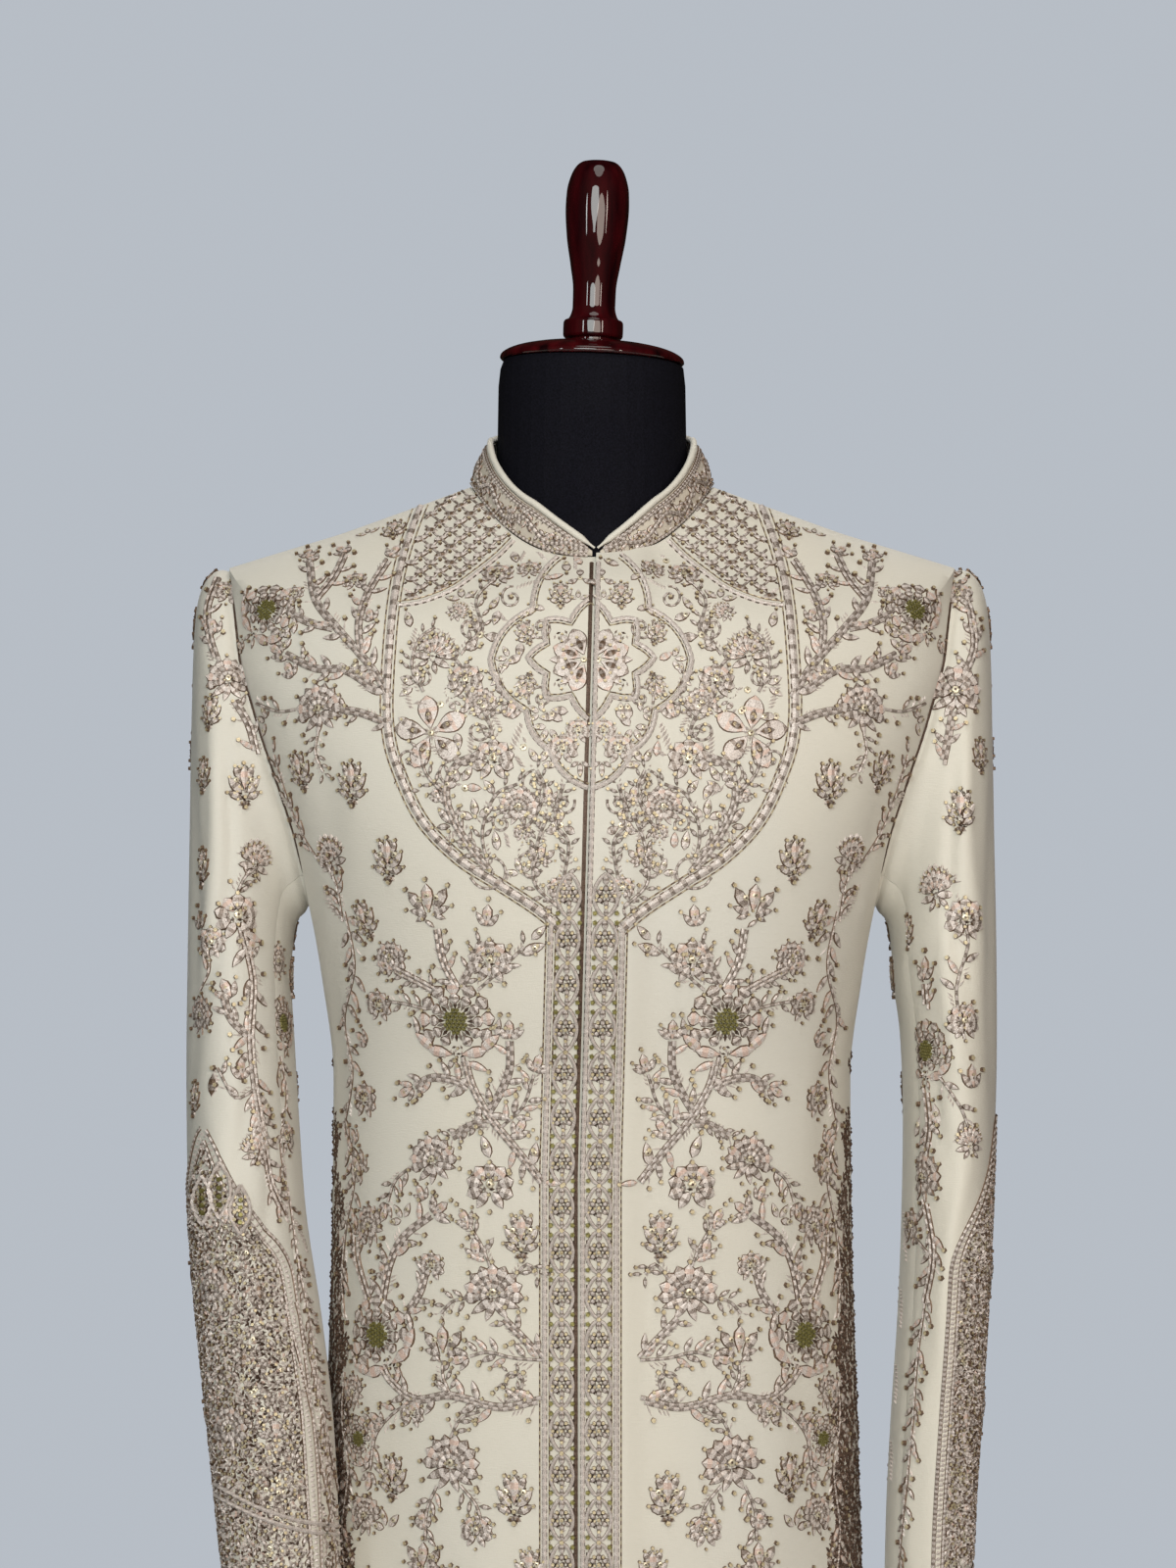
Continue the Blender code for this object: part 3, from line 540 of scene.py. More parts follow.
def grid_quads(rows, columns, closed=False):
    """Quads of a grid, whose columns may close round."""
    wide = columns if closed else columns - 1
    i, j = np.meshgrid(np.arange(rows - 1), np.arange(wide), indexing="ij")
    k = (j + 1) % columns
    quads = [i * columns + j, i * columns + k, (i + 1) * columns + k, (i + 1) * columns + j]
    return np.stack(quads, axis=-1).reshape(-1, 4)


def wall_faces(rows, columns):
    """Quads of a closed wall: the outer grid, the inner grid and the rims between them."""
    layer = rows * columns
    outer = grid_quads(rows, columns)
    flat = np.arange(layer).reshape(rows, columns)
    rims = []
    for line in (flat[0], flat[:, -1], flat[-1][::-1], flat[:, 0][::-1]):
        a = line[:-1]
        b = line[1:]
        rims.append(np.stack([b, a, a + layer, b + layer], axis=-1))
    return np.concatenate([outer, outer[:, ::-1] + layer] + rims)


def outward(points, faces, facing):
    """The faces turned to face the way that the first of them should."""
    a, b, c = points[faces[0][:3]]
    return faces if np.dot(np.cross(b - a, c - a), facing) > 0 else faces[:, ::-1]


def cloth_shell(name, outer, facing, wall, materials):
    """A closed thin shell from a grid of outer points, which stands for its solid."""
    rows, columns = outer.shape[:2]
    points = np.concatenate([outer.reshape(-1, 3), (outer - facing * wall).reshape(-1, 3)])
    faces = outward(points, wall_faces(rows, columns), facing[0, 0])
    obj = mesh_object(name, points, [faces], materials)
    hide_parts(name.replace("_cloth", ""))
    return obj


def tube_faces(count, sides):
    """Faces of a tube of rings, closed at its ends with fans to the two points after them."""
    k = np.arange(sides)
    m = (k + 1) % sides
    last = (count - 1) * sides
    foot = np.full(sides, count * sides)
    low = np.stack([foot, m, k], axis=-1)
    high = np.stack([foot + 1, last + k, last + m], axis=-1)
    return [grid_quads(count, sides, True), low, high]


def turned_object(name, profile, sides, material, place):
    """A turned piece from its profile, its two ends closed."""
    angles = TURN * np.arange(sides) / sides
    radii = np.array([row.radius for row in profile])
    heights = np.array([row.height for row in profile])
    run = np.concatenate([[0], np.cumsum(np.hypot(np.diff(radii), np.diff(heights)))])
    fine = np.unique(np.concatenate([run, np.linspace(0, run[-1], 4 * len(profile))]))
    radii = curve_through(run, radii, fine)
    heights = curve_through(run, heights, fine)
    x = radii[:, None] * np.cos(angles)
    y = radii[:, None] * np.sin(angles)
    z = np.broadcast_to(heights[:, None], x.shape)
    rings = np.stack([x, y, z], axis=-1).reshape(-1, 3)
    points = np.concatenate([rings, [[0, 0, heights[0]], [0, 0, heights[-1]]]])
    tilt, base = place
    cosine = math.cos(tilt)
    sine = math.sin(tilt)
    x, y, z = points.T
    points = np.stack([x * cosine + z * sine, y, z * cosine - x * sine + base], axis=-1)
    return mesh_object(name, points, tube_faces(len(fine), sides), [material], sharp=35)


# -------- materials

EVEN = (1, 1, 1)


def new_material(name, color, roughness, metallic=0.0):
    """A material, its node tree and its surface shader."""
    material = bpy.data.materials.new(name)
    material.use_nodes = True
    shader = material.node_tree.nodes["Principled BSDF"]
    shader.inputs["Base Color"].default_value = (*color, 1)
    shader.inputs["Roughness"].default_value = roughness
    shader.inputs["Metallic"].default_value = metallic
    return material, material.node_tree, shader


def add_node(tree, kind, **values):
    """A node with some of its input values; a name with an underscore stands for a space."""
    node = tree.nodes.new(kind)
    for name, value in values.items():
        node.inputs[name.replace("_", " ")].default_value = value
    return node


def noise(tree, stretch, scale, detail=3.0):
    """Noise over the object's own coordinates, stretched along each axis."""
    place = tree.nodes.new("ShaderNodeTexCoord")
    mapping = add_node(tree, "ShaderNodeMapping", Scale=stretch)
    tree.links.new(place.outputs["Object"], mapping.inputs["Vector"])
    node = add_node(tree, "ShaderNodeTexNoise", Scale=scale, Detail=detail)
    tree.links.new(mapping.outputs["Vector"], node.inputs["Vector"])
    return node.outputs["Fac"]


def remap(tree, value, low, high, start=0.3, stop=0.7):
    """A value between two others; a texture's usual reach is from start to stop."""
    node = add_node(
        tree, "ShaderNodeMapRange", From_Min=start, From_Max=stop, To_Min=low, To_Max=high
    )
    tree.links.new(value, node.inputs["Value"])
    return node.outputs["Result"]


def blend(tree, share, first, second):
    """Two colours mixed by a share. Each may be a colour or another node's output."""
    node = tree.nodes.new("ShaderNodeMix")
    node.data_type = "RGBA"
    for socket, value in ((node.inputs[0], share), (node.inputs[6], first), (node.inputs[7], second)):
        if isinstance(value, bpy.types.NodeSocket):
            tree.links.new(value, socket)
        else:
            socket.default_value = value if isinstance(value, float) else (*value, 1)
    return node.outputs[2]


def surface(tree, shader, color, roughness=None):
    """Links the colour and the roughness."""
    tree.links.new(color, shader.inputs["Base Color"])
    if roughness:
        tree.links.new(roughness, shader.inputs["Roughness"])


def bump(tree, shader, height, distance):
    node = add_node(tree, "ShaderNodeBump", Strength=1.0, Distance=distance)
    tree.links.new(height, node.inputs["Height"])
    previous = shader.inputs["Normal"]
    if previous.is_linked:
        tree.links.new(previous.links[0].from_socket, node.inputs["Normal"])
    tree.links.new(node.outputs["Normal"], previous)


def satin_material(name, warm, cool):
    """Silk satin: a soft broad sheen, faint slubs in the weave and uneven warmth."""
    material, tree, shader = new_material(name, warm, 0.42)
    shader.inputs["Sheen Weight"].default_value = 0.2
    shader.inputs["Sheen Roughness"].default_value = 0.4
    shader.inputs["Specular IOR Level"].default_value = 0.36
    broad = noise(tree, (1, 1, 0.4), 7.0)
    slubs = noise(tree, (1, 1, 9), 260.0, 2.0)
    weave = noise(tree, (6, 6, 1), 420.0, 2.0)
    color = blend(tree, remap(tree, broad, 0.0, 1.0), warm, cool)
    color = blend(tree, remap(tree, slubs, 0.0, 0.10), color, tuple(0.72 * c for c in warm))
    surface(tree, shader, color, remap(tree, broad, 0.44, 0.58))
    bump(tree, shader, slubs, 0.00016)
    bump(tree, shader, weave, 0.00012)
    return material


def thread_material(thread):
    """Sewn thread or cord: strands that shift from light to dark, with their own relief."""
    rough = thread.roughness
    material, tree, shader = new_material(thread.name, thread.light, rough, thread.metallic)
    strands = noise(tree, EVEN, thread.grain, 2.0)
    drift = noise(tree, EVEN, 60.0)
    color = blend(tree, remap(tree, strands, 0.0, 1.0), thread.dark, thread.light)
    color = blend(tree, remap(tree, drift, 0.0, 0.35), color, thread.dark)
    surface(tree, shader, color, remap(tree, strands, rough - 0.08, rough + 0.12))
    bump(tree, shader, strands, 0.0003)
    return material


def wood_material(name):
    """Mahogany under a thick gloss, its red grain streaked along the turning."""
    material, tree, shader = new_material(name, (0.05, 0.003, 0.004), 0.3)
    shader.inputs["Coat Weight"].default_value = 1.0
    shader.inputs["Coat IOR"].default_value = 1.5
    shader.inputs["Specular IOR Level"].default_value = 0.0
    shader.inputs["Coat Roughness"].default_value = 0.03
    streaks = noise(tree, (1, 1, 0.12), 130.0, 5.0)
    bands = noise(tree, (1, 1, 0.12), 24.0)
    color = blend(tree, remap(tree, streaks, 0.0, 1.0), (0.006, 0.0004, 0.0010), (0.085, 0.004, 0.006))
    color = blend(tree, remap(tree, bands, 0.0, 0.8), color, (0.010, 0.0008, 0.002))
    surface(tree, shader, color, remap(tree, streaks, 0.22, 0.38))
    bump(tree, shader, streaks, 0.00008)
    return material


def form_material(name):
    """The form's cover: matt cloth, almost black, with a close weave."""
    material, tree, shader = new_material(name, (0.004, 0.004, 0.007), 0.9)
    shader.inputs["Specular IOR Level"].default_value = 0.12
    weave = noise(tree, EVEN, 900.0, 2.0)
    broad = noise(tree, EVEN, 14.0)
    color = blend(tree, remap(tree, weave, 0.0, 1.0), (0.002, 0.002, 0.004), (0.006, 0.006, 0.011))
    surface(tree, shader, color, remap(tree, broad, 0.75, 0.92))
    bump(tree, shader, weave, 0.0003)
    return material


def metal_material(name):
    """The stand's pole: brushed steel."""
    material, tree, shader = new_material(name, (0.5, 0.5, 0.51), 0.3, 1.0)
    brushed = noise(tree, (1, 1, 0.03), 500.0)
    color = blend(tree, remap(tree, brushed, 0.0, 1.0), (0.42, 0.42, 0.43), (0.60, 0.60, 0.60))
    surface(tree, shader, color, remap(tree, brushed, 0.24, 0.38))
    bump(tree, shader, brushed, 0.00005)
    return material


def floor_material(name):
    material, tree, shader = new_material(name, (0.62, 0.64, 0.66), 0.7)
    broad = noise(tree, EVEN, 3.0)
    color = blend(tree, remap(tree, broad, 0.0, 1.0), (0.60, 0.62, 0.64), (0.65, 0.67, 0.69))
    surface(tree, shader, color)
    return material


# -------- camera, light and floor

CAMERA_X = -0.0025
CAMERA_DISTANCE = 2.2
CAMERA_Z = 1.2834
VIEW_HEIGHT = 0.993  # metres of the picture's height at the plane y = 0
PICTURE_WIDTH = 1200
PICTURE_HEIGHT = 1600
FOCAL_PIXELS = PICTURE_HEIGHT / VIEW_HEIGHT * CAMERA_DISTANCE

Light = namedtuple("Light", "name x y z size tall power color")
LIGHTS = table(Light,
    ("key", -0.42, -2.8, 2.15, 1.4, 1.4, 40, (0.94, 1, 0.98)),
    ("fill", 0.72, -2.8, 1.7, 1.4, 1.4, 28, (1, 0.875, 0.775)),
    ("top", 0.1, -1, 3.3, 1.2, 1.2, 10, (1, 0.97, 0.92)),
    ("back", 0.25, 2.1, 3.7, 1.8, 1.8, 66, (1, 0.98, 0.96)),
    ("strip_left", -1.75, -2.2, 1.95, 0.16, 1, 6, (0.94, 1, 1)),
    ("strip_right", 1.65, -2.3, 1.9, 0.16, 1, 6, (1, 0.88, 0.78)),
)
LIGHT_AIM = (0.0, 0.0, 1.15)
# The backdrop as it is seen, and the dimmer room that lights the coat round its sides.
BACKDROP = (0.475, 0.512, 0.562)
ROOM_BEHIND = (0.016, 0.013, 0.010)
ROOM_AHEAD = (0.12, 0.104, 0.084)
FLOOR_RADIUS = 1.9


def make_camera():
    data = bpy.data.cameras.new("camera")
    data.sensor_fit = "VERTICAL"
    data.angle = 2 * math.atan(VIEW_HEIGHT / 2 / CAMERA_DISTANCE)
    camera = bpy.data.objects.new("camera", data)
    camera.location = (CAMERA_X, -CAMERA_DISTANCE, CAMERA_Z)
    camera.rotation_euler = (math.pi / 2, 0, 0)
    bpy.context.scene.collection.objects.link(camera)
    bpy.context.scene.camera = camera


def make_lights():
    for light in LIGHTS:
        data = bpy.data.lights.new(light.name, "AREA")
        data.shape = "ELLIPSE"
        data.size = light.size
        data.size_y = light.tall
        data.energy = light.power
        data.color = light.color
        obj = bpy.data.objects.new(light.name, data)
        obj.location = (light.x, light.y, light.z)
        aim = Vector(LIGHT_AIM) - obj.location
        obj.rotation_euler = aim.to_track_quat("-Z", "Y").to_euler()
        obj.visible_camera = False
        obj.visible_glossy = light.name != "back"
        bpy.context.scene.collection.objects.link(obj)


def make_world():
    world = bpy.data.worlds.new("studio")
    world.use_nodes = True
    tree = world.node_tree
    way = tree.nodes.new("ShaderNodeTexCoord")
    parts = tree.nodes.new("ShaderNodeSeparateXYZ")
    tree.links.new(way.outputs["Generated"], parts.inputs["Vector"])
    share = remap(tree, parts.outputs["Y"], 0.0, 1.0, -0.9, -0.2)
    room = blend(tree, share, ROOM_AHEAD, ROOM_BEHIND)
    seen = tree.nodes.new("ShaderNodeLightPath").outputs["Is Camera Ray"]
    color = blend(tree, seen, room, BACKDROP)
    tree.links.new(color, tree.nodes["Background"].inputs["Color"])
    bpy.context.scene.world = world
    bpy.context.scene.view_settings.view_transform = "Standard"


def make_floor():
    angles = TURN * np.arange(96) / 96
    rim = np.stack([np.cos(angles), np.sin(angles), np.zeros(96)], axis=1) * FLOOR_RADIUS
    mesh = bpy.data.meshes.new("floor")
    mesh.from_pydata([tuple(point - [0, 0, 0.0005]) for point in rim], [], [tuple(range(96))])
    mesh.materials.append(floor_material("floor"))
    floor = bpy.data.objects.new("floor", mesh)
    bpy.context.scene.collection.objects.link(floor)


# -------- the cloth

def collar_grid(columns, rows):
    base, up, facing, height = collar_frame(columns)
    shares = np.linspace(0, 1, rows)[:, None, None]
    crown = 0.0011 * np.sin(math.pi * shares)
    outer = base + up * height[:, None] * shares + facing * crown
    return outer, np.broadcast_to(facing, outer.shape)


def piping_rings(columns):
    """Rings of the rolled piping along the collar's top edge, a little uneven."""
    base, up, facing, height = collar_frame(columns)
    edge = base + up * height[:, None] - facing * COLLAR_WALL / 2
    along = np.gradient(edge, axis=0)
    away = unit(np.cross(facing, along))
    away *= np.sign((away * up).sum(axis=1, keepdims=True))
    middle = edge + away * (PIPING_RADIUS + SEAM)
    share = np.arange(columns + 1) / columns
    radius = PIPING_RADIUS * (1 + 0.05 * np.sin(41 * share) + 0.04 * np.sin(97 * share + 1))
    radius *= np.clip(np.minimum(share, 1 - share) * 60, 0.35, 1)
    turns = TURN * np.arange(14) / 14
    rings = [
        middle + radius[:, None] * (facing * math.cos(turn) + away * math.sin(turn))
        for turn in turns
    ]
    return np.stack(rings, axis=1)


def make_cloth():
    """Each piece's shell, with the grid that its sewn work is laid on."""
    silk = satin_material("silk_satin", (0.69, 0.652, 0.562), (0.655, 0.636, 0.575))
    band = satin_material("collar_satin", (0.62, 0.55, 0.45), (0.58, 0.53, 0.46))
    grids = {}
    for side, word in ((1, "left"), (-1, "right")):
        grids["front_" + word] = panel_grid(side, True)
        grids["back_" + word] = panel_grid(side, False)
        outer, facing = sleeve_grid(side)
        front = FRONT_SEAM_STEP * STEP_COLUMNS
        back = BACK_SEAM_STEP * STEP_COLUMNS
        round_arm = 2 * ARM_STEPS * STEP_COLUMNS
        for name, first, last in (("top_sleeve_", -back, front), ("under_sleeve_", front, round_arm - back)):
            picked = [j % round_arm for j in range(first, last + 1)]
            grids[name + word] = (seam_cut(outer, first, last), facing[:, picked])
    shells = {}
    for name, (outer, facing) in grids.items():
        shells[name] = cloth_shell(name + "_cloth", outer, facing, WALL, [silk])
    grids["collar"] = collar_grid(220, 12)
    shells["collar"] = cloth_shell("collar_cloth", *grids["collar"], COLLAR_WALL, [band])
    return grids, shells


def make_piping():
    rings = piping_rings(260)
    count, sides = rings.shape[:2]
    ends = np.stack([rings[0].mean(axis=0), rings[-1].mean(axis=0)])
    points = np.concatenate([rings.reshape(-1, 3), ends])
    cream = satin_material("piping_satin", (0.70, 0.665, 0.58), (0.67, 0.65, 0.59))
    piping = mesh_object("collar_piping_cloth", points, tube_faces(count, sides), [cream])
    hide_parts("collar_piping")
    return piping


def dress_form():
    """The form keeps its solids; its cap and handle are turned finer."""
    wood = wood_material("mahogany_gloss")
    cloth = form_material("form_cover")
    steel = metal_material("brushed_pole")
    for name, material in (("form_torso", cloth), ("form_pole", steel), ("form_base", wood)):
        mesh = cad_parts[name].data
        mesh.materials.clear()
        mesh.materials.append(material)
    cap = turned_object("neck_cap_wood", CAP_PROFILE, 96, wood, (CAP_TILT, CAP_BOTTOM))
    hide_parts("form_neck_cap")
    handle_base = CAP_BOTTOM + FINIAL_FOOT * math.cos(CAP_TILT)
    handle = turned_object("handle_wood", FINIAL_PROFILE, 72, wood, (CAP_TILT, handle_base))
    handle.location.x += FINIAL_FOOT * math.sin(CAP_TILT)
    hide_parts("form_finial")


# Each piece as it was cut: the rectangle that it fits in and its flat area.
Cut = namedtuple("Cut", "width length area")


# -------- threads, beads and their shapes

# What a sewn shape is made of, as the place of its material in THREADS.
SILVER, PALE, PINK, BRONZE, GOLD, OLIVE, SPANGLE, DARK = range(8)

# A shape's points run x along it and y across it, one unit long and wide, z out by one
# unit of height. Its edges lie below 0, under the cloth that it is sewn to.
Shape = namedtuple("Shape", "points faces materials")
MARK_SINK = -0.25


def leaf_shape(fills, belly, stations, rim=0.13, outline=BRONZE):
    """A domed satin fill with a corded outline, pointed at both ends.

    The fill's threads take turns through fills. belly above 1 moves the widest place
    towards the tip, as on a petal. rim is the outline's width as a share of the leaf's.
    """
    along = np.linspace(0, 1, stations + 1)
    width = 0.05 + 0.95 * np.sin(math.pi * along**belly) ** 0.8
    across = (-1, 0, 1)
    points = []
    for t, w in zip(along, width):
        foot = math.copysign(0.5, t - 0.5) if t in (0, 1) else t - 0.5
        crest = foot * (1 - 0.6 * rim)
        points.append((foot, -0.5 * w, MARK_SINK))
        points += [(crest, (0.5 - rim) * w * s, 0.72 + 0.5 * (1 - s * s) * w) for s in across]
        points.append((foot, 0.5 * w, MARK_SINK))
    faces = []
    kinds = []
    row = len(across) + 2
    for i in range(stations):
        for j in range(row - 1):
            a = row * i + j
            faces.append((a, a + row, a + row + 1, a + 1))
            inner = fills[(i + abs(2 * j - row + 2) // 2) % len(fills)]
            kinds.append(outline if j in (0, row - 2) else inner)
    return Shape(np.array(points), faces, kinds)


def turned_shape(rings, kinds, sides):
    """Rings of (radius, height) from the rim inwards, closed by a flat top."""
    points = []
    for radius, height in rings:
        for k in range(sides):
            turn = TURN * k / sides
            points.append((radius * math.cos(turn), radius * math.sin(turn), height))
    faces = []
    for i in range(len(rings) - 1):
        for k in range(sides):
            m = (k + 1) % sides
            faces.append((i * sides + k, i * sides + m, (i + 1) * sides + m, (i + 1) * sides + k))
    last = (len(rings) - 1) * sides
    for k in range(1, sides - 1, 2):
        corners = (0, k, k + 1, k + 2) if k + 2 < sides else (0, k, k + 1)
        faces.append(tuple(last + corner for corner in corners))
    materials = [kind for kind in kinds[:-1] for _ in range(sides)]
    return Shape(np.array(points), faces, materials + [kinds[-1]] * (len(faces) - len(materials)))


def stitch_shape(material):
    """One satin stitch: a short ridge with tapered ends."""
    rim = [(x, y, MARK_SINK) for x, y in ((-0.5, 0), (0, -0.5), (0.5, 0), (0, 0.5))]
    faces = [(k, (k + 1) % 4, 4) for k in range(4)]
    return Shape(np.array(rim + [(0, 0, 1.0)]), faces, [material] * 4)


BEAD_RINGS = ((0.5, MARK_SINK), (0.40, 0.9))
SPANGLE_RINGS = ((0.5, 0.1), (0.42, 0.6), (0.16, 0.7))
SHAPES = {
    "leaf": leaf_shape((SILVER, PALE), 0.8, 5),
    "leaf_pale": leaf_shape((PALE, PALE, SILVER), 0.8, 5),
    "leaf_pink": leaf_shape((PINK, PALE), 0.8, 5),
    "petal": leaf_shape((PALE, SILVER), 1.35, 4),
    "petal_pink": leaf_shape((PINK, PALE), 1.35, 4),
    "petal_silver": leaf_shape((SILVER, PALE), 1.35, 4),
    "wide_petal": leaf_shape((PALE, PALE, PALE, SILVER), 1.3, 8, 0.08),
    "wide_pink": leaf_shape((PALE, PINK, PALE), 1.3, 8, 0.08),
    "small_leaf": leaf_shape((SILVER, PALE), 0.9, 3, 0.17),
    "small_pink": leaf_shape((PINK, PALE), 0.9, 3, 0.17),
    "bronze_leaf": leaf_shape((BRONZE, SILVER), 0.9, 4, outline=PALE),
    # A gold bead's sides are bronze: partly the bronze rim round it, partly painted shade on its sides under
    # a lit top.
    "gold_bead": turned_shape(BEAD_RINGS, (BRONZE, GOLD), 5),
    "olive_bead": turned_shape(BEAD_RINGS, (OLIVE, OLIVE), 5),
    "spangle": turned_shape(SPANGLE_RINGS, (SPANGLE, SPANGLE, DARK), 6),
    "stitch": stitch_shape(SILVER),
    "stitch_pale": stitch_shape(PALE),
    "stitch_pink": stitch_shape(PINK),
    "stitch_bronze": stitch_shape(DARK),
}


# What each thread is made of, in the order of the names above: its light and dark colours,
# roughness, metallic share and the scale of its strands.
Thread = namedtuple("Thread", "name light dark roughness metallic grain", defaults=(1500.0,))
THREADS = table(Thread,
    ("thread_silver", (0.57, 0.495, 0.445), (0.13, 0.092, 0.070), 0.32, 0.35),
    ("thread_pale", (0.85, 0.785, 0.745), (0.46, 0.39, 0.35), 0.32, 0.15),
    ("thread_pink", (0.80, 0.64, 0.56), (0.50, 0.35, 0.29), 0.34, 0.15),
    ("cord_bronze", (0.27, 0.178, 0.118), (0.088, 0.053, 0.034), 0.32, 0.42),
    ("bead_gold", (0.76, 0.665, 0.46), (0.38, 0.30, 0.175), 0.42, 0.34, 900.0),
    ("bead_olive", (0.35, 0.325, 0.12), (0.14, 0.12, 0.035), 0.36, 0.45, 900.0),
    ("spangle_gilt", (0.85, 0.79, 0.63), (0.48, 0.41, 0.28), 0.28, 0.4, 500.0),
    ("thread_dark", (0.17, 0.105, 0.072), (0.042, 0.024, 0.017), 0.34, 0.4),
)


# -------- laying shapes on the cloth

# A mark is one shape in a motif: where its middle is and how far it is turned, with its
# length, width and height, all in picture pixels at the coat's own distance.
Mark = namedtuple("Mark", "shape x y turn length width height")
PIXEL = VIEW_HEIGHT / PICTURE_HEIGHT
LOST = 0.0016  # a mark this far past the edge of its piece isn't sewn
LAP_CLEAR = 0.0010
MIRROR_X = 1206


def chance(*numbers):
    """A number from 0 to 1 that looks random but is the same at every run."""
    total = sum(scale * number for scale, number in zip((12.9898, 78.233, 37.719), numbers))
    return (math.sin(total) * 43758.5453) % 1


class Ground:
    """A cloth piece's outer surface, which finds places on it and collects what is sewn."""

    def __init__(self, name, outer, facing):
        rows, columns = outer.shape[:2]
        self.name = name
        self.outer = outer
        self.facing = facing
        points = outer.reshape(-1, 3)
        self.tree = BVHTree.FromPolygons(points.tolist(), grid_quads(rows, columns).tolist())
        self.marks = {}
        self.cords = []

    def covered(self, place):
        """Whether the other front laps over this place."""
        return self.name == "front_right" and place.x > edge_x(place.z) - LAP_CLEAR

    def at(self, row, column):
        """The place and the normal at a row and a column, each from 0 to 1 of the grid."""
        rows, columns = self.outer.shape[:2]
        i = min(max(row, 0.0), 1.0) * (rows - 1)
        j = min(max(column, 0.0), 1.0) * (columns - 1)
        a = min(int(i), rows - 2)
        b = min(int(j), columns - 2)
        found = []
        for grid in (self.outer, self.facing):
            low = grid[a, b] + (grid[a, b + 1] - grid[a, b]) * (j - b)
            high = grid[a + 1, b] + (grid[a + 1, b + 1] - grid[a + 1, b]) * (j - b)
            found.append(Vector(low + (high - low) * (i - a)))
        return found[0], found[1].normalized()


# The pieces that a layout is seen against, and whether it is seen from behind.
Sight = namedtuple("Sight", "grounds behind")


def picture_ray(x, y, behind):
    """Where a pixel is seen from and which way, or from as far behind the coat."""
    ahead = -1 if behind else 1
    start = Vector((CAMERA_X, -CAMERA_DISTANCE * ahead, CAMERA_Z))
    right = (x - PICTURE_WIDTH / 2) / FOCAL_PIXELS
    up = (PICTURE_HEIGHT / 2 - y) / FOCAL_PIXELS
    return start, Vector((right, ahead, up)).normalized()


def seen_at(sight, x, y):
    """The piece that shows at a pixel, the place on it and its normal, or None."""
    start, way = picture_ray(x, y, sight.behind)
    found = None
    for ground in sight.grounds:
        place, normal, _, distance = ground.tree.ray_cast(start, way)
        if place is not None and (found is None or distance < found[3]):
            found = (ground, place, -normal if normal.dot(way) > 0 else normal, distance)
    return found[:3] if found else None


def lay(ground, marks, place, normal, turn=0.0, size=1.0, mirrored=False):
    """Sews a motif's marks round a place, turned and scaled, each on the cloth under it."""
    right = Vector((0, 0, 1)).cross(normal)
    if abs(normal.z) > 0.5 and abs(normal.x) < 0.9:
        right = Vector((1 if normal.y < 0.05 else -1, 0, 0))
    right = (right - normal * right.dot(normal)).normalized()
    up = normal.cross(right)
    cosine = math.cos(turn)
    sine = math.sin(turn)
    for mark in marks:
        x = (mark.x * cosine - mark.y * sine) * size * PIXEL
        y = (mark.x * sine + mark.y * cosine) * size * PIXEL
        angle = mark.turn + turn
        if mirrored:
            x = -x
            angle = math.pi - angle
        aim = place + right * x + up * y
        spot, facing, _, _ = ground.tree.find_nearest(aim)
        facing = facing if facing.dot(normal) > 0 else -facing
        off = aim - spot
        if (off - facing * off.dot(facing)).length > LOST or ground.covered(spot):
            continue
        along = right * math.cos(angle) + up * math.sin(angle)
        along = (along - facing * along.dot(facing)).normalized()
        across = facing.cross(along)
        sizes = (mark.length * size * PIXEL, mark.width * size * PIXEL, mark.height * size * PIXEL)
        ground.marks.setdefault(mark.shape, []).append((*spot, *along, *across, *facing, *sizes))


# A cord is a ridge along a path: its width and height in pixels, and the materials that
# take turns along its crest and along its edges.
Cord = namedtuple("Cord", "width height materials edges")
CORDS = {
    "thin": Cord(3.0, 1.5, (SILVER, PALE), (BRONZE,)),
    "silver": Cord(3.6, 2.0, (PALE, SILVER), (BRONZE,)),
    "stem": Cord(5.0, 2.4, (PALE, SILVER), (BRONZE,)),
    "border": Cord(4.4, 2.3, (PALE, SILVER), (BRONZE,)),
    "frame": Cord(4.2, 2.6, (PALE,), (BRONZE,)),
    "edge": Cord(5.2, 2.2, (PALE,), (DARK, PALE)),
    # shadow: dark thread that paints the shadow cast by the lapping front's edge.
    "shadow": Cord(4.4, 0.8, (DARK,), (BRONZE,)),
    # seam: a dark cord for the armhole seam line, widened so that it also paints the shade in the seam's
    # valley.
    "seam": Cord(3.6, 0.7, (DARK,), (DARK,)),
    "trim": Cord(5.6, 2.4, (PALE,), (DARK, PALE)),
    "chain": Cord(8.8, 2.8, (PALE, PALE, SILVER), (PALE, BRONZE)),
    "raised": Cord(5.0, 4.6, (PALE,), (SILVER, PALE)),
    "gilt": Cord(1.6, 1.2, (GOLD, BRONZE), (BRONZE,)),
}
CORD_STEP = 4.0  # pixels from one point of a cord to the next
CORD_ROWS = ((-0.5, -0.2), (-0.36, 0.55), (0.0, 1.0), (0.36, 0.55), (0.5, -0.2))


def smooth_path(points, step=CORD_STEP):
    """Evenly spaced points on a smooth curve through the given ones."""
    points = np.asarray(points, float)
    ends = np.concatenate([2 * points[:1] - points[1:2], points, 2 * points[-1:] - points[-2:-1]])
    fine = np.array(spline(ends, 12) + [points[-1]])
    run = running(fine)
    at = np.linspace(0, run[-1], max(2, int(round(run[-1] / step)) + 1))
    return np.column_stack([np.interp(at, run, fine[:, k]) for k in range(fine.shape[1])])


def beside(path, distance):
    """The path moved sideways, to its left where distance is above 0."""
    along = unit(np.gradient(path, axis=0))
    return path + distance * np.column_stack([-along[:, 1], along[:, 0]])


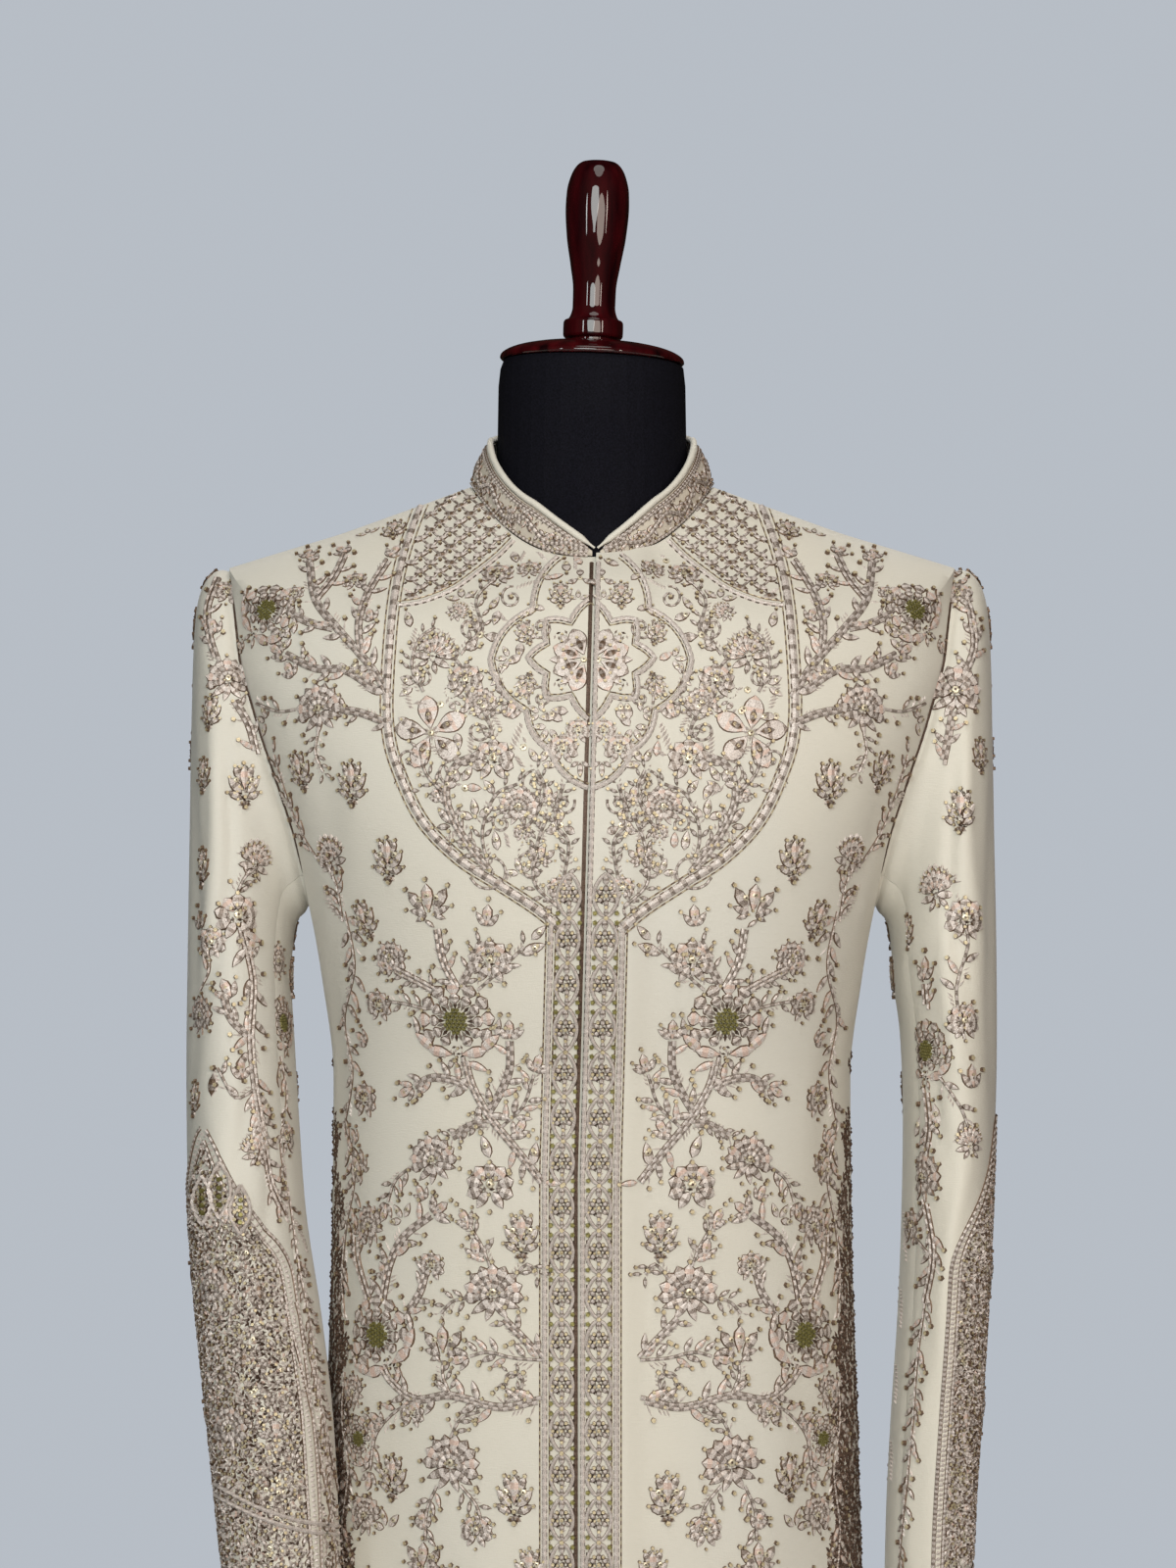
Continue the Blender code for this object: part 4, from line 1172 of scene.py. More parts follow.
def sew_cord(sight, path, kind, mirrored=False):
    """A cord along picture pixels, broken where the path leaves a piece."""
    cord = CORDS[kind]
    run = []
    last = None
    for x, y in path:
        found = seen_at(sight, MIRROR_X - x if mirrored else x, y)
        if found is None or (last is not None and found[0] is not last):
            keep_run(last, run, cord)
            run = []
        last = found[0] if found else None
        if found:
            run.append((*found[1], *found[2]))
    keep_run(last, run, cord)


def keep_run(ground, run, cord):
    if ground is not None and len(run) > 1:
        ground.cords.append((np.array(run), cord))


def sew_row(sight, path, mark):
    """The same mark at every point of a path of picture pixels, turned along it."""
    for (x, y), (right, down) in zip(path, np.gradient(path, axis=0)):
        turned = mark._replace(turn=math.atan2(-down, right) + mark.turn)
        sew_at(sight, [turned], x, y)


def sew_at(sight, marks, x, y, turn=0.0, size=1.0, mirrored=False):
    found = seen_at(sight, MIRROR_X - x if mirrored else x, y)
    if found:
        ground, place, normal = found
        lay(ground, marks, place, normal, turn, size, mirrored != sight.behind)


def cord_mesh(run, cord):
    """Points, and quads with their materials, of one cord: a core between two edges."""
    path = run[:, :3]
    out = run[:, 3:]
    across = unit(np.cross(out, np.gradient(path, axis=0)))
    beat = 1 + 0.16 * np.cos(math.pi * np.arange(len(path)))[:, None]
    rows = [
        path + across * side * cord.width * PIXEL + out * high * cord.height * PIXEL * beat
        for side, high in CORD_ROWS
    ]
    points = np.stack(rows, axis=1).reshape(-1, 3)
    quads = grid_quads(len(path), len(CORD_ROWS))
    steps = np.arange(len(path) - 1)
    core = np.array(cord.materials)[steps % len(cord.materials)]
    edge = np.array(cord.edges)[steps % len(cord.edges)]
    return points, [(quads, np.stack([edge, core, core, edge], axis=1).ravel())]


def repeated(shape, rows):
    """Points, and quads and triangles with their materials, of a shape at every row."""
    rows = np.array(rows)
    local = shape.points
    placed = rows[:, None, 0:3] + sum(
        local[None, :, k, None] * rows[:, None, 3 + 3 * k : 6 + 3 * k] * rows[:, None, 12 + k, None]
        for k in range(3)
    )
    shift = (np.arange(len(rows)) * len(local))[:, None, None]
    found = []
    for corners in (4, 3):
        picked = [i for i, face in enumerate(shape.faces) if len(face) == corners]
        faces = np.array([shape.faces[i] for i in picked], np.int64).reshape(1, -1, corners)
        kinds = np.tile([shape.materials[i] for i in picked], len(rows))
        found.append(((faces + shift).reshape(-1, corners), kinds))
    return placed.reshape(-1, 3), found


def cell_map(mesh):
    """A texture map that gives every face a cell of its own."""
    layer = mesh.uv_layers.new(name="OFBake")
    sizes = np.zeros(len(mesh.polygons), np.int32)
    mesh.polygons.foreach_get("loop_total", sizes)
    across = math.ceil(math.sqrt(len(sizes)))
    face = np.repeat(np.arange(len(sizes)), sizes)
    corner = np.arange(len(face)) - np.repeat(np.cumsum(sizes) - sizes, sizes)
    right = np.array([0.15, 0.85, 0.85, 0.15])[corner % 4]
    up = np.array([0.15, 0.15, 0.85, 0.85])[corner % 4]
    places = np.stack([(face % across + right) / across, (face // across + up) / across], axis=-1)
    layer.data.foreach_set("uv", places.astype(np.float32).ravel())


def sewn_object(ground, materials):
    """Everything sewn on a piece, as one object."""
    pieces = [repeated(SHAPES[name], rows) for name, rows in sorted(ground.marks.items())]
    pieces += [cord_mesh(run, cord) for run, cord in ground.cords]
    points = []
    faces = {4: [np.zeros((0, 4), int)], 3: [np.zeros((0, 3), int)]}
    kinds = {4: [], 3: []}
    count = 0
    for placed, groups in pieces:
        points.append(placed)
        for corners, picked in groups:
            faces[corners.shape[1]].append(corners + count)
            kinds[corners.shape[1]].append(picked)
        count += len(placed)
    fours, threes = [np.concatenate(faces[size]) for size in (4, 3)]
    name = ground.name + "_work"
    every = np.concatenate(kinds[4] + kinds[3])
    obj = mesh_object(name, np.concatenate(points), [fours, threes], materials, every, sharp=0)
    obj.data.shade_flat()
    cell_map(obj.data)
    print(obj.name, 2 * len(fours) + len(threes), "triangles")
    return obj


# -------- motifs, in pixels, up is +y


SIDES = (1, -1)


def polar(turn, reach, x=0, y=0):
    """A point at a reach from x, y, the turn in degrees from the right."""
    return x + reach * math.cos(math.radians(turn)), y + reach * math.sin(math.radians(turn))


def leaf_from(shape, x, y, turn, length, width, height=1.5):
    """A leaf or petal that starts at x, y and points where turn says."""
    middle = polar(turn, length / 2, x, y)
    return Mark(shape, *middle, math.radians(turn), length, width, height)


def round_mark(shape, x, y, across, height):
    return Mark(shape, x, y, 0, across, across, height)


def bead(x, y, across=6):
    return round_mark("gold_bead", x, y, across, 0.7 * across)


def spangle(x, y, across=7.5, height=2.2):
    return round_mark("spangle", x, y, across, height)


def sewn_line(shape, x, y, degrees, length, width, height):
    """A stitch whose middle is at x, y, turned by degrees."""
    return Mark(shape, x, y, math.radians(degrees), length, width, height)


def ring(shapes, turns, reach, sizes, y=0, lean=None):
    """Marks round (0, y): leaves that start at the reach, or stitches turned by lean."""
    marks = []
    for k, turn in enumerate(turns):
        shape = shapes if isinstance(shapes, str) else shapes[k % len(shapes)]
        place = polar(turn, reach, 0, y)
        if lean is None:
            marks.append(leaf_from(shape, *place, turn, *sizes))
        else:
            marks.append(sewn_line(shape, *place, turn + lean, *sizes))
    return marks


def beads(turns, reach, across, y=0):
    return [bead(*polar(turn, reach, 0, y), across) for turn in turns]


def coils(x, y, reach, count, seed):
    """A close filling of short stitches and little beads round x, y."""
    marks = []
    for k in range(count):
        turn = 137.5 * k + 40 * seed
        away = reach * math.sqrt((k + 0.5) / count)
        spot = polar(turn, away, x, y)
        shape = ("stitch_pale", "stitch_bronze", "gold_bead", "stitch")[(k + seed) % 4]
        if shape == "gold_bead":
            marks.append(bead(*spot, 3.6))
        else:
            marks.append(sewn_line(shape, *spot, turn + 70, 6.5, 3.2, 2.2))
    return marks


def feather(x, y, turn, length, width=9, curl=0):
    """A comb of slanted pale stitches along a line that may curl."""
    marks = []
    count = max(3, int(length / 4.6))
    angle = turn
    for k in range(count):
        x, y = polar(angle, length / count, x, y)
        angle += curl / count
        size = 1.5 * width * (0.55 + 0.45 * math.sin(math.pi * (k + 0.7) / count))
        marks.append(sewn_line("stitch_pale", x, y, angle + 52, size, 4.6, 2.4))
    return marks


BUTI_BEADS = ((9, 18, 4.8), (15, 7, 4.4), (17, -8, 4.4), (5, -3, 4.2), (10, -9, 4), (11, -1, 4))


def buti():
    """A small close sprig: a crown of three leaves over a wider pair, down to one bead."""
    marks = coils(0, -5, 14, 34, 1) + coils(0, 9, 10, 18, 2)
    marks.append(leaf_from("petal_pink", 0, -6, 90, 25, 11, 2.6))
    for side in SIDES:
        marks += [
            leaf_from("petal_silver", side * 3, 2, 90 - side * 20, 17, 9, 2.2),
            leaf_from("leaf_pale", side * 3, -9, 90 - side * 40, 20, 11, 2.4),
            leaf_from("small_leaf", side * 2, -15, 90 - side * 62, 17, 10, 2.4),
            leaf_from("bronze_leaf", side * 2, -18, 270 - side * 70, 9, 6, 2.6),
            spangle(side * 8, 4, 6.5, 4.2),
            Mark("stitch_bronze", side * 6, 11, 1.5, 8, 3, 3.6),
        ]
        marks += [bead(side * x, y, across) for x, y, across in BUTI_BEADS]
    marks += [sewn_line("stitch_pale", 0, y, 90, 5.5, 4, 4.4) for y in (-6, 0, 6, 12)]
    return marks + [bead(0, 21, 5.2), bead(0, -23, 6), bead(0, -13, 5)]


def bud():
    marks = [leaf_from("petal_pink", 0, -9, 90, 22, 12, 2), bead(0, 18), bead(0, 3, 4)]
    marks.append(sewn_line("stitch_bronze", 0, 0, 90, 13, 4.4, 3.2))
    for side in SIDES:
        marks.append(leaf_from("leaf", side, -9, 90 - side * 38, 17, 8))
        marks.append(bead(*polar(90 - side * 38, 20, side, -9), 5))
    return marks


def tulip():
    marks = coils(0, -2, 13, 16, 2) + [leaf_from("petal_pink", 0, -10, 90, 28, 15, 2.2), bead(0, 22)]
    for side in SIDES:
        marks += [
            leaf_from("petal", side * 4, -11, 90 - side * 36, 28, 13, 2),
            leaf_from("leaf", side * 3, -12, 90 - side * 74, 19, 9),
            leaf_from("small_leaf", side * 3, -13, 90 - side * 112, 14, 7),
            bead(*polar(90 - side * 36, 31, side * 4, -11)),
            bead(*polar(90 - side * 74, 22, side * 3, -12), 5),
            spangle(side * 9, 3, 7, 3.6),
        ]
    return marks + [spangle(0, 6, 7, 3.8)]


def blossom():
    """A full flower seen from the side: two rows of scalloped petals over its leaves."""
    marks = ring("leaf", (207, 333), 0, (25, 10), -6) + ring("leaf_pale", (240, 300), 0, (20, 9), -8)
    marks += beads((207, 333), 29, 5.5, -6) + [bead(0, -27, 5)]
    marks += ring(("petal", "petal_pink", "petal"), range(-12, 200, 24), 9, (19, 13, 1.8), -3)
    marks += beads(range(-12, 200, 48), 29.5, 5, -3)
    marks += ring("petal_silver", range(0, 200, 36), 3, (14, 9, 2.8), -3)
    marks += ring("stitch_bronze", range(0, 200, 24), 18, (9, 3, 3.4), -3, 0)
    return marks + coils(0, -2, 8, 12, 3) + [spangle(0, 0, 8, 4.2)]


def small_flower():
    """A close carnation: scalloped petals over a row of shorter ones and two leaves."""
    turns = (-20, 16, 53, 90, 127, 164, 200)
    marks = coils(0, -2, 9, 12, 4) + ring("petal_silver", turns[:2], 5, (14, 12, 1.8), -3)
    marks += ring(("petal_pink", "petal_silver"), turns[2:5], 5, (14, 12, 1.8), -3)
    marks += ring("petal_silver", turns[5:], 5, (14, 12, 1.8), -3)
    marks += ring("stitch_bronze", turns, 10, (5.5, 2.6, 3), -3, 0)
    marks += ring("leaf_pale", (238, 302), 4, (15, 9, 1.8), -3)
    marks += beads((35, 90, 145, 270), 18.5, 4.4, -3)
    return marks + [spangle(0, -1, 7, 3.6), bead(-5, 4, 4), bead(5, 4, 4)]


def fan():
    """A half-open flower of long rays, each a row of stitches that ends in a saw-edged tip."""
    marks = coils(0, -12, 6, 7, 3)
    for k in range(9):
        turn = 90 + (k - 4) * 17
        reach = 28 - abs(k - 4)
        marks += ring("small_pink" if k % 2 else "petal", (turn,), 4, (reach - 5, 8, 1.6), -11)
        for shape, away in (("stitch_pale", 0.34), ("stitch_bronze", 0.52), ("stitch_pale", 0.70)):
            marks += ring(shape, (turn,), away * reach, (6.5, 2.8, 3.2), -11, 0)
        for side in SIDES:
            marks += ring("stitch_pale", (turn + side * 5,), 0.93 * reach, (9, 2.8, 2.4), -11, side * 19)
        marks += beads((turn,), 0.84 * reach, 3.6, -11)
    for side in SIDES:
        marks.append(leaf_from("leaf_pale", side * 2, -13, 90 - side * 98, 19, 9))
        marks.append(leaf_from("small_leaf", side * 2, -16, 90 - side * 140, 14, 7))
    return marks + [bead(0, -23, 5)]


def lily():
    """Five broad pointed petals, each with a little beaded leaf inside."""
    turns = (90, 162, 234, 306, 18)
    marks = ring(("wide_pink", "wide_petal"), turns, 4, (34, 22, 1.2))
    marks += ring("bronze_leaf", turns, 9, (16, 9, 2.6)) + beads(turns, 18, 4.6)
    return marks + ring("stitch_pale", range(0, 360, 45), 5, (9, 4, 3), 0, 0) + [spangle(0, 0, 7, 4.2)]


def star():
    """Half of the medallion's flower: broad petals to its left, with sprigs between."""
    turns = (112, 157, 203, 248)
    marks = ring(("wide_petal", "wide_pink"), turns, 5, (30, 20, 1.2))
    marks += ring("bronze_leaf", turns, 9, (15, 8, 2.8)) + beads(turns, 24, 4.6)
    marks += ring("leaf_pale", (134, 180, 226), 18, (18, 10)) + beads((134, 180, 226), 20, 4.4)
    for turn in (134, 226):
        marks += coils(*polar(turn, 34), 7, 7, 2)
    return marks + [spangle(-2, 0, 7)]


def scroll():
    """A tight curl of stitches with a leaf at its foot."""
    marks = [bead(0, 0, 4), leaf_from("small_leaf", 2, -15, -30, 15, 7)]
    for k in range(17):
        shape = "stitch_pale" if k % 2 else "stitch"
        marks += ring(shape, (100 + 27 * k,), 15 - 0.75 * k, (6.5, 2.8, 1.9), 0, 70)
    return marks


def lotus():
    """The large flower: an olive heart, two rows of scalloped petals and two curved leaves."""
    marks = []
    for side in SIDES:
        marks += feather(side * 8, -36, 90 - side * 84, 34, 5, side * 46) + [
            leaf_from("petal_pink", side * 4, -33, 90 - side * 80, 27, 14, 2.4),
            leaf_from("leaf_pink", side * 24, -28, 90 - side * 52, 25, 13, 2.6),
            leaf_from("leaf_pale", side * 40, -14, 90 - side * 14, 18, 8, 2.6),
            leaf_from("small_leaf", side * 4, -36, 270 + side * 24, 14, 7),
            bead(side * 45, 7, 6),
            bead(side * 50, -6, 5),
        ]
    for row in range(-3, 4):
        for column in range(-3, 4):
            x = 4.1 * column + 2 * (row % 2)
            y = 3.7 * row
            if abs(x) < 10.5 and abs(x) + abs(y) < 17:
                marks.append(round_mark("olive_bead", x, y, 4.6, 3))
    marks += ring(("stitch_bronze", "stitch", "stitch"), range(0, 360, 15), 16, (12, 5, 3.2), 0, 0)
    marks += ring("petal_silver", range(-60, 250, 30), 16, (12, 13, 2.4))
    turns = range(-24, 212, 29)
    marks += ring(("petal", "petal_pink", "petal"), turns, 24, (16, 17, 1.9))
    marks += beads([turn + 14 for turn in turns], 36, 4.4)
    return marks + coils(0, -30, 7, 10, 4) + [bead(0, -44, 5)]


def sprig():
    """Three pale leaves, each with a spangle on it."""
    turns = (90, 28, 152)
    return ring("leaf_pale", turns, 3, (18, 9.5, 1.6)) + [
        spangle(*polar(turn, 13), 5.8, 3.6) for turn in turns
    ]


def rosette():
    """What fills one cell of the front band: a little flower of curls and beads."""
    marks = ring("small_leaf", (90, 30, 150, 215, 325, 270), 2.5, (9, 6, 2.4))
    marks += beads((0, 60, 122, 180), 8.5, 4.6)
    marks += ring("stitch_bronze", range(0, 300, 60), 6, (7, 3, 2), 0, 60)
    marks += [leaf_from("leaf_pale", 0, 10, 90, 11, 7, 2.6), leaf_from("leaf_pale", 0, -20, 90, 8, 5, 2.6)]
    return marks + coils(0, -1, 11, 11, 1) + [bead(0, 0, 5), bead(0, -11, 4.6)]


def between():
    """What stands where two cells of the band meet: beads and short slanted stitches."""
    marks = [bead(0, 0, 6)]
    for side in SIDES:
        for high in SIDES:
            marks.append(round_mark("olive_bead", side * 10.5, high * 4.6, 5.6, 3.4))
            marks.append(Mark("stitch", side * 5.5, high * 5, side * high * 0.9, 8, 3.4, 2.2))
            marks.append(Mark("stitch_bronze", side * 11, high * 12, side * 1.2, 8, 3.2, 2))
    return marks


SPRAY_TURNS = (90, 35, 145)
MOTIFS = {
    "buti": buti(),
    "bud": bud(),
    "tulip": tulip(),
    "blossom": blossom(),
    "small": small_flower(),
    "fan": fan(),
    "lily": lily(),
    "lotus": lotus(),
    "star": star(),
    "scroll": scroll(),
    "rosette": rosette(),
    "between": between(),
    "spray": ring("small_leaf", SPRAY_TURNS, 2, (15, 8)) + beads(SPRAY_TURNS, 20, 4.4)
    + [leaf_from("leaf", 0, 4, 90, 20, 9)],
    "feather": feather(0, 0, 90, 34, 11),
    "frond": feather(0, 0, 90, 46, 14, curl=50),
    "sprig": sprig(),
    "trefoil": ring("petal_silver", (90, 210, 330), 3, (17, 12)) + [spangle(0, 0, 8)],
    "leaf": [leaf_from("leaf_pale", 0, 0, 90, 22, 11), spangle(0, 12, 6, 3.8), bead(0, 25, 4.4)],
    "drop": [leaf_from("bronze_leaf", 0, -10, 90, 22, 12), bead(0, 16), spangle(0, 0, 5)],
}

# -------- where the motifs are sewn

# A motif on the front, at pixel x, y; turn in degrees to the left. A table lists its spots
# motif by motif. Only the wearer's right half is listed; the other half is its mirror image.
Spot = namedtuple("Spot", "motif x y turn size", defaults=(0, 1))
# A stem through points of the picture, with leaves along it: each leaf's length, how far
# apart they are and the motif at the stem's end. A stem with no leaves has length 0.
Stem = namedtuple("Stem", "kind points leaf gap end", defaults=("",))

BIB_EDGE = (
    (446, 487), (430, 515), (412, 565), (401, 620), (395, 700), (396, 745), (405, 782),
    (430, 836), (468, 876), (510, 903), (548, 928), (574, 950),
)
YOKE_EDGE = ((407, 618), (432, 614), (462, 602), (488, 584), (508, 568), (524, 552))
# The cusps of the medallion and of the star in it; between two of them the line bows out.
MEDALLION = ((572, 566), (543, 621), (500, 673), (537, 726), (561, 766), (600, 804))
STAR = (
    (600, 612), (582, 634), (557, 632), (557, 656), (538, 671),
    (557, 688), (557, 712), (582, 710), (600, 734),
)
# Tendrils that curl in on themselves, drawn as cords; turn is where each one starts from.
CURLS = grouped(Spot,
    left=(
        (500, 888, 200, 1.25), (432, 690, 120, 0.7), (460, 790, 90, 0.8), (552, 640, 150, 0.8),
        (545, 800, 100, 0.8), (522, 610, 80, 0.7), (474, 862, 170, 0.9), (512, 840, 40, 0.7),
    ),
    right=(
        (540, 880, 330, 0.9), (480, 640, 30, 0.8), (488, 745, 60, 0.8), (552, 712, 210, 0.8),
        (418, 775, 250, 0.7), (575, 820, 20, 0.7), (560, 930, 120, 0.7),
    ),
)
# The band down the front edge: where it starts and stops, and its flowers' spacing.
EDGE_TOP = 574
BAND_TOP = 940
FIRST_ROSETTE = BAND_TOP - 26
CELL_STEPS = 12  # points of a cell's frame
BAND_LOW = 2262
ROSETTE_PITCH = 45.5
FRONT_SPOTS = grouped(Spot,
    lily=((440, 748, 10),),
    fan=((447, 660, -22), (470, 622, -60, 0.55), (336, 868, 20)),
    small=(
        (508, 585, 0, 0.9), (475, 692), (503, 772, 0, 1.15), (540, 580, 0, 0.7), (571, 905, 0, 0.7),
        (533, 848, 0, 0.5), (574, 762, 0, 0.85), (590, 744, 0, 0.7), (362, 592, 0, 0.7),
        (300, 605, 0, 0.6), (500, 978, 0, 1.2), (386, 1024, 0, 0.9), (500, 1207, 0, 1.3),
        (440, 1290, 0, 0.8), (372, 1120), (420, 1440, 0, 0.8), (486, 1560, 0, 0.9),
    ),
    trefoil=((490, 648, 20), (572, 842, 0, 0.8), (466, 726, 40, 0.6), (592, 590, 0, 0.7)),
    bud=(
        (521, 725, -20, 0.9), (560, 812, 10, 0.8), (446, 812, 30, 0.7), (378, 628, 20, 0.8),
        (350, 562, 40, 0.9), (318, 570, 30, 0.8), (296, 684, 40, 0.9), (246, 660, 60, 0.7),
        (497, 936, -6), (370, 1060, 60, 0.9), (530, 1152, -30, 0.9), (486, 1276, 10),
        (476, 1248, 20, 0.7), (392, 1298, 30, 0.9), (430, 1218, 30, 0.8), (362, 1160, 40, 0.8),
        (385, 1450, 50, 0.9), (432, 1552, 20, 0.9),
    ),
    blossom=(
        (529, 822, 0, 0.75), (490, 716, 10, 0.62), (325, 722, 20), (398, 978, 40, 0.7),
        (441, 1182, 20, 0.95), (503, 1318, 8, 1.1), (376, 1250, 60, 0.8), (460, 1492, -4, 1.1),
        (360, 1420, 60, 0.7), (372, 1545, 40, 0.8),
    ),
    sprig=(
        (470, 800, 30), (486, 836, 10), (424, 700, 60, 0.9), (472, 612, 10, 0.9), (550, 780, -30, 0.9),
        (532, 892, 20, 0.8), (512, 690, 70, 0.7), (520, 672, 90, 0.72), (560, 742, 150, 0.8),
        (552, 728, 60, 0.7), (590, 612, 0, 0.6), (300, 650, 70), (272, 736, 80, 0.9),
        (357, 690, -20, 0.9), (322, 530, 60, 0.8), (376, 545, 10, 0.7), (412, 1245, 40, 0.9),
        (395, 1560, 20),
    ),
    tulip=(
        (552, 872, -10, 0.6), (437, 920, 6), (452, 1370, 4, 0.95), (366, 1190, 50, 0.8),
        (432, 1590, 0, 0.9),
    ),
    leaf=(
        (419, 640, 20, 0.9), (500, 622, -30, 0.8), (508, 868, 10, 0.9), (484, 728, -50, 0.9),
        (505, 810, 40, 0.8), (560, 850, -30, 0.7), (562, 592, 40, 0.8), (556, 622, 70, 0.7),
        (546, 622, 120, 0.7), (533, 972, -70, 1.1), (500, 1182, 20, 1.1), (543, 1190, -10, 1.1),
    ),
    spray=((462, 843, 40), (592, 776, 180, 0.7)),
    feather=(
        (418, 665, -10, 0.7), (470, 640, -60, 0.7), (525, 600, -70, 0.7), (480, 775, 0, 0.8),
        (512, 745, 30, 0.7), (452, 858, -60, 0.8), (500, 905, -60, 0.8), (545, 745, -150, 0.7),
        (428, 612, 40, 0.7), (556, 860, 20, 0.8), (520, 770, -20, 0.9), (462, 780, 50, 0.9),
        (420, 725, 20, 0.8), (300, 828, 60),
    ),
    scroll=((540, 872, 0, 0.8), (412, 798, 30, 0.7), (462, 706, 0, 0.6)),
    star=((598, 673),),
    buti=(
        (572, 606, 0, 0.7), (536, 645, 20, 0.62), (536, 700, 160, 0.62), (402, 540, 0, 0.75), (359, 798),
        (396, 876), (306, 786, 10, 0.9), (372, 938, 20, 0.9), (532, 1260, 0, 1.05), (401, 1506),
        (525, 1527, 0, 1.1), (540, 1600, 0, 0.9),
    ),
    lotus=((272, 622, -34, 0.86), (465, 1042), (385, 1362, 30), (366, 1468, 70, 0.6)),
    frond=((330, 900, -170),),
)
FRONT_STEMS = table(Stem,
    # in the bib
    ("thin", ((500, 890), (492, 850), (505, 812), (528, 800)), 13, 13),
    ("stem", ((500, 890), (470, 850), (455, 812), (466, 780), (490, 772)), 13, 13),
    ("thin", ((455, 812), (435, 790), (428, 765)), 12, 12),
    ("thin", ((505, 760), (496, 730), (478, 712), (470, 680), (458, 668)), 12, 12),
    ("thin", ((496, 730), (512, 712), (508, 690)), 11, 12),
    ("thin", ((432, 706), (420, 680), (428, 652), (444, 640)), 12, 12),
    ("thin", ((470, 668), (490, 640), (486, 612), (505, 590)), 13, 12),
    ("thin", ((575, 898), (580, 860), (566, 838), (575, 800)), 12, 11),
    ("thin", ((568, 925), (545, 900), (548, 862), (560, 830)), 12, 11),
    ("thin", ((529, 850), (545, 835), (556, 806), (548, 786)), 11, 11),
    # from the bib to the shoulder
    ("stem", ((398, 712), (378, 680), (345, 642), (322, 612), (316, 575)), 22, 15, "bud"),
    ("stem", ((345, 642), (318, 636), (296, 626)), 17, 13),
    ("stem", ((368, 668), (366, 635), (376, 604), (396, 572)), 20, 14, "bud"),
    ("stem", ((322, 612), (340, 590), (352, 566)), 17, 13),
    ("stem", ((400, 740), (370, 728), (348, 724)), 16, 13),
    ("stem", ((384, 704), (352, 684), (322, 682), (292, 668)), 20, 14, "bud"),
    ("thin", ((302, 724), (284, 726), (262, 718)), 16, 12, "bud"),
    ("thin", ((325, 746), (322, 768), (330, 788)), 12, 11),
    ("thin", ((330, 885), (308, 850), (292, 810), (280, 770)), 18, 13),
    ("thin", ((350, 940), (344, 905), (334, 880)), 17, 12),
    # below the bib
    ("stem", ((466, 1008), (452, 980), (446, 948)), 17, 13),
    ("stem", ((470, 1008), (480, 988), (492, 960)), 15, 13),
    ("stem", ((446, 1012), (424, 1000), (404, 990)), 15, 12, "bud"),
    ("thin", ((488, 1010), (508, 992), (535, 966)), 17, 12, "leaf"),
    ("thin", ((436, 1030), (412, 1024), (396, 1022)), 15, 12),
    ("stem", ((474, 1078), (482, 1108), (500, 1140), (526, 1172), (553, 1206)), 22, 15),
    ("stem", ((482, 1112), (462, 1102), (440, 1100), (424, 1108)), 20, 12, "bud"),
    ("stem", ((498, 1136), (512, 1112), (520, 1090), (520, 1062)), 20, 13, "bud"),
    ("thin", ((512, 1150), (534, 1128), (545, 1096)), 18, 12, "bud"),
    ("stem", ((502, 1146), (482, 1148), (462, 1160)), 14, 11),
    ("thin", ((420, 1190), (404, 1204), (396, 1226)), 16, 12, "bud"),
    ("stem", ((553, 1386), (534, 1366), (514, 1346)), 19, 13),
    ("thin", ((553, 1388), (525, 1386), (498, 1380), (480, 1384)), 19, 12, "bud"),
    ("thin", ((500, 1292), (492, 1272), (480, 1252)), 16, 12, "bud"),
    ("thin", ((524, 1304), (538, 1290), (548, 1300)), 14, 11),
    ("thin", ((480, 1324), (462, 1328), (450, 1340)), 14, 11),
    ("stem", ((553, 1428), (510, 1436), (460, 1424), (424, 1428), (400, 1410), (390, 1394)), 22, 15),
    ("thin", ((510, 1436), (530, 1420), (532, 1404), (518, 1402), (516, 1414)), 10, 12),
    ("thin", ((460, 1424), (452, 1404), (452, 1388)), 14, 11),
    ("stem", ((390, 1330), (398, 1290), (412, 1262), (440, 1240)), 24, 15, "bud"),
    ("stem", ((378, 1330), (366, 1290), (364, 1262)), 20, 14, "bud"),
    ("stem", ((412, 1344), (428, 1320), (434, 1300)), 18, 13),
    ("thin", ((424, 1430), (404, 1440), (384, 1464), (378, 1500)), 19, 13, "bud"),
    ("thin", ((460, 1466), (470, 1448), (490, 1440)), 14, 11),
    ("thin", ((470, 1516), (486, 1536), (492, 1556)), 15, 12),
    ("thin", ((446, 1516), (436, 1540), (434, 1572)), 16, 12),
    # the vine down the side
    ("thin", ((352, 930), (362, 985), (352, 1040), (360, 1095), (352, 1150)), 22, 15),
    ("thin", ((352, 1150), (362, 1200), (354, 1250), (350, 1300), (352, 1345)), 22, 15),
    ("thin", ((352, 1400), (350, 1450), (356, 1500), (350, 1560), (354, 1620)), 22, 15),
)
# Below the picture the front goes on with its lowest plants, once more.
AGAIN_TOP = 1235
AGAIN_LOW = 1600
AGAIN_DOWN = 372
BIB_AREA = (395, 556, 812, 930)
BIB_PITCH = 9
BIB_CLEAR = 9.8  # how far the filling keeps from the bib's other work
STEM_STEP = 5
STEM_SPREAD = 1.9  # pixels from a stem's middle to each of its two cords
STEM_TAPER = 0.2  # how much shorter its last leaves are
BROAD_LEAF = 15  # leaves longer than this are corded, and every fourth of them is left out
END_REACH = 10


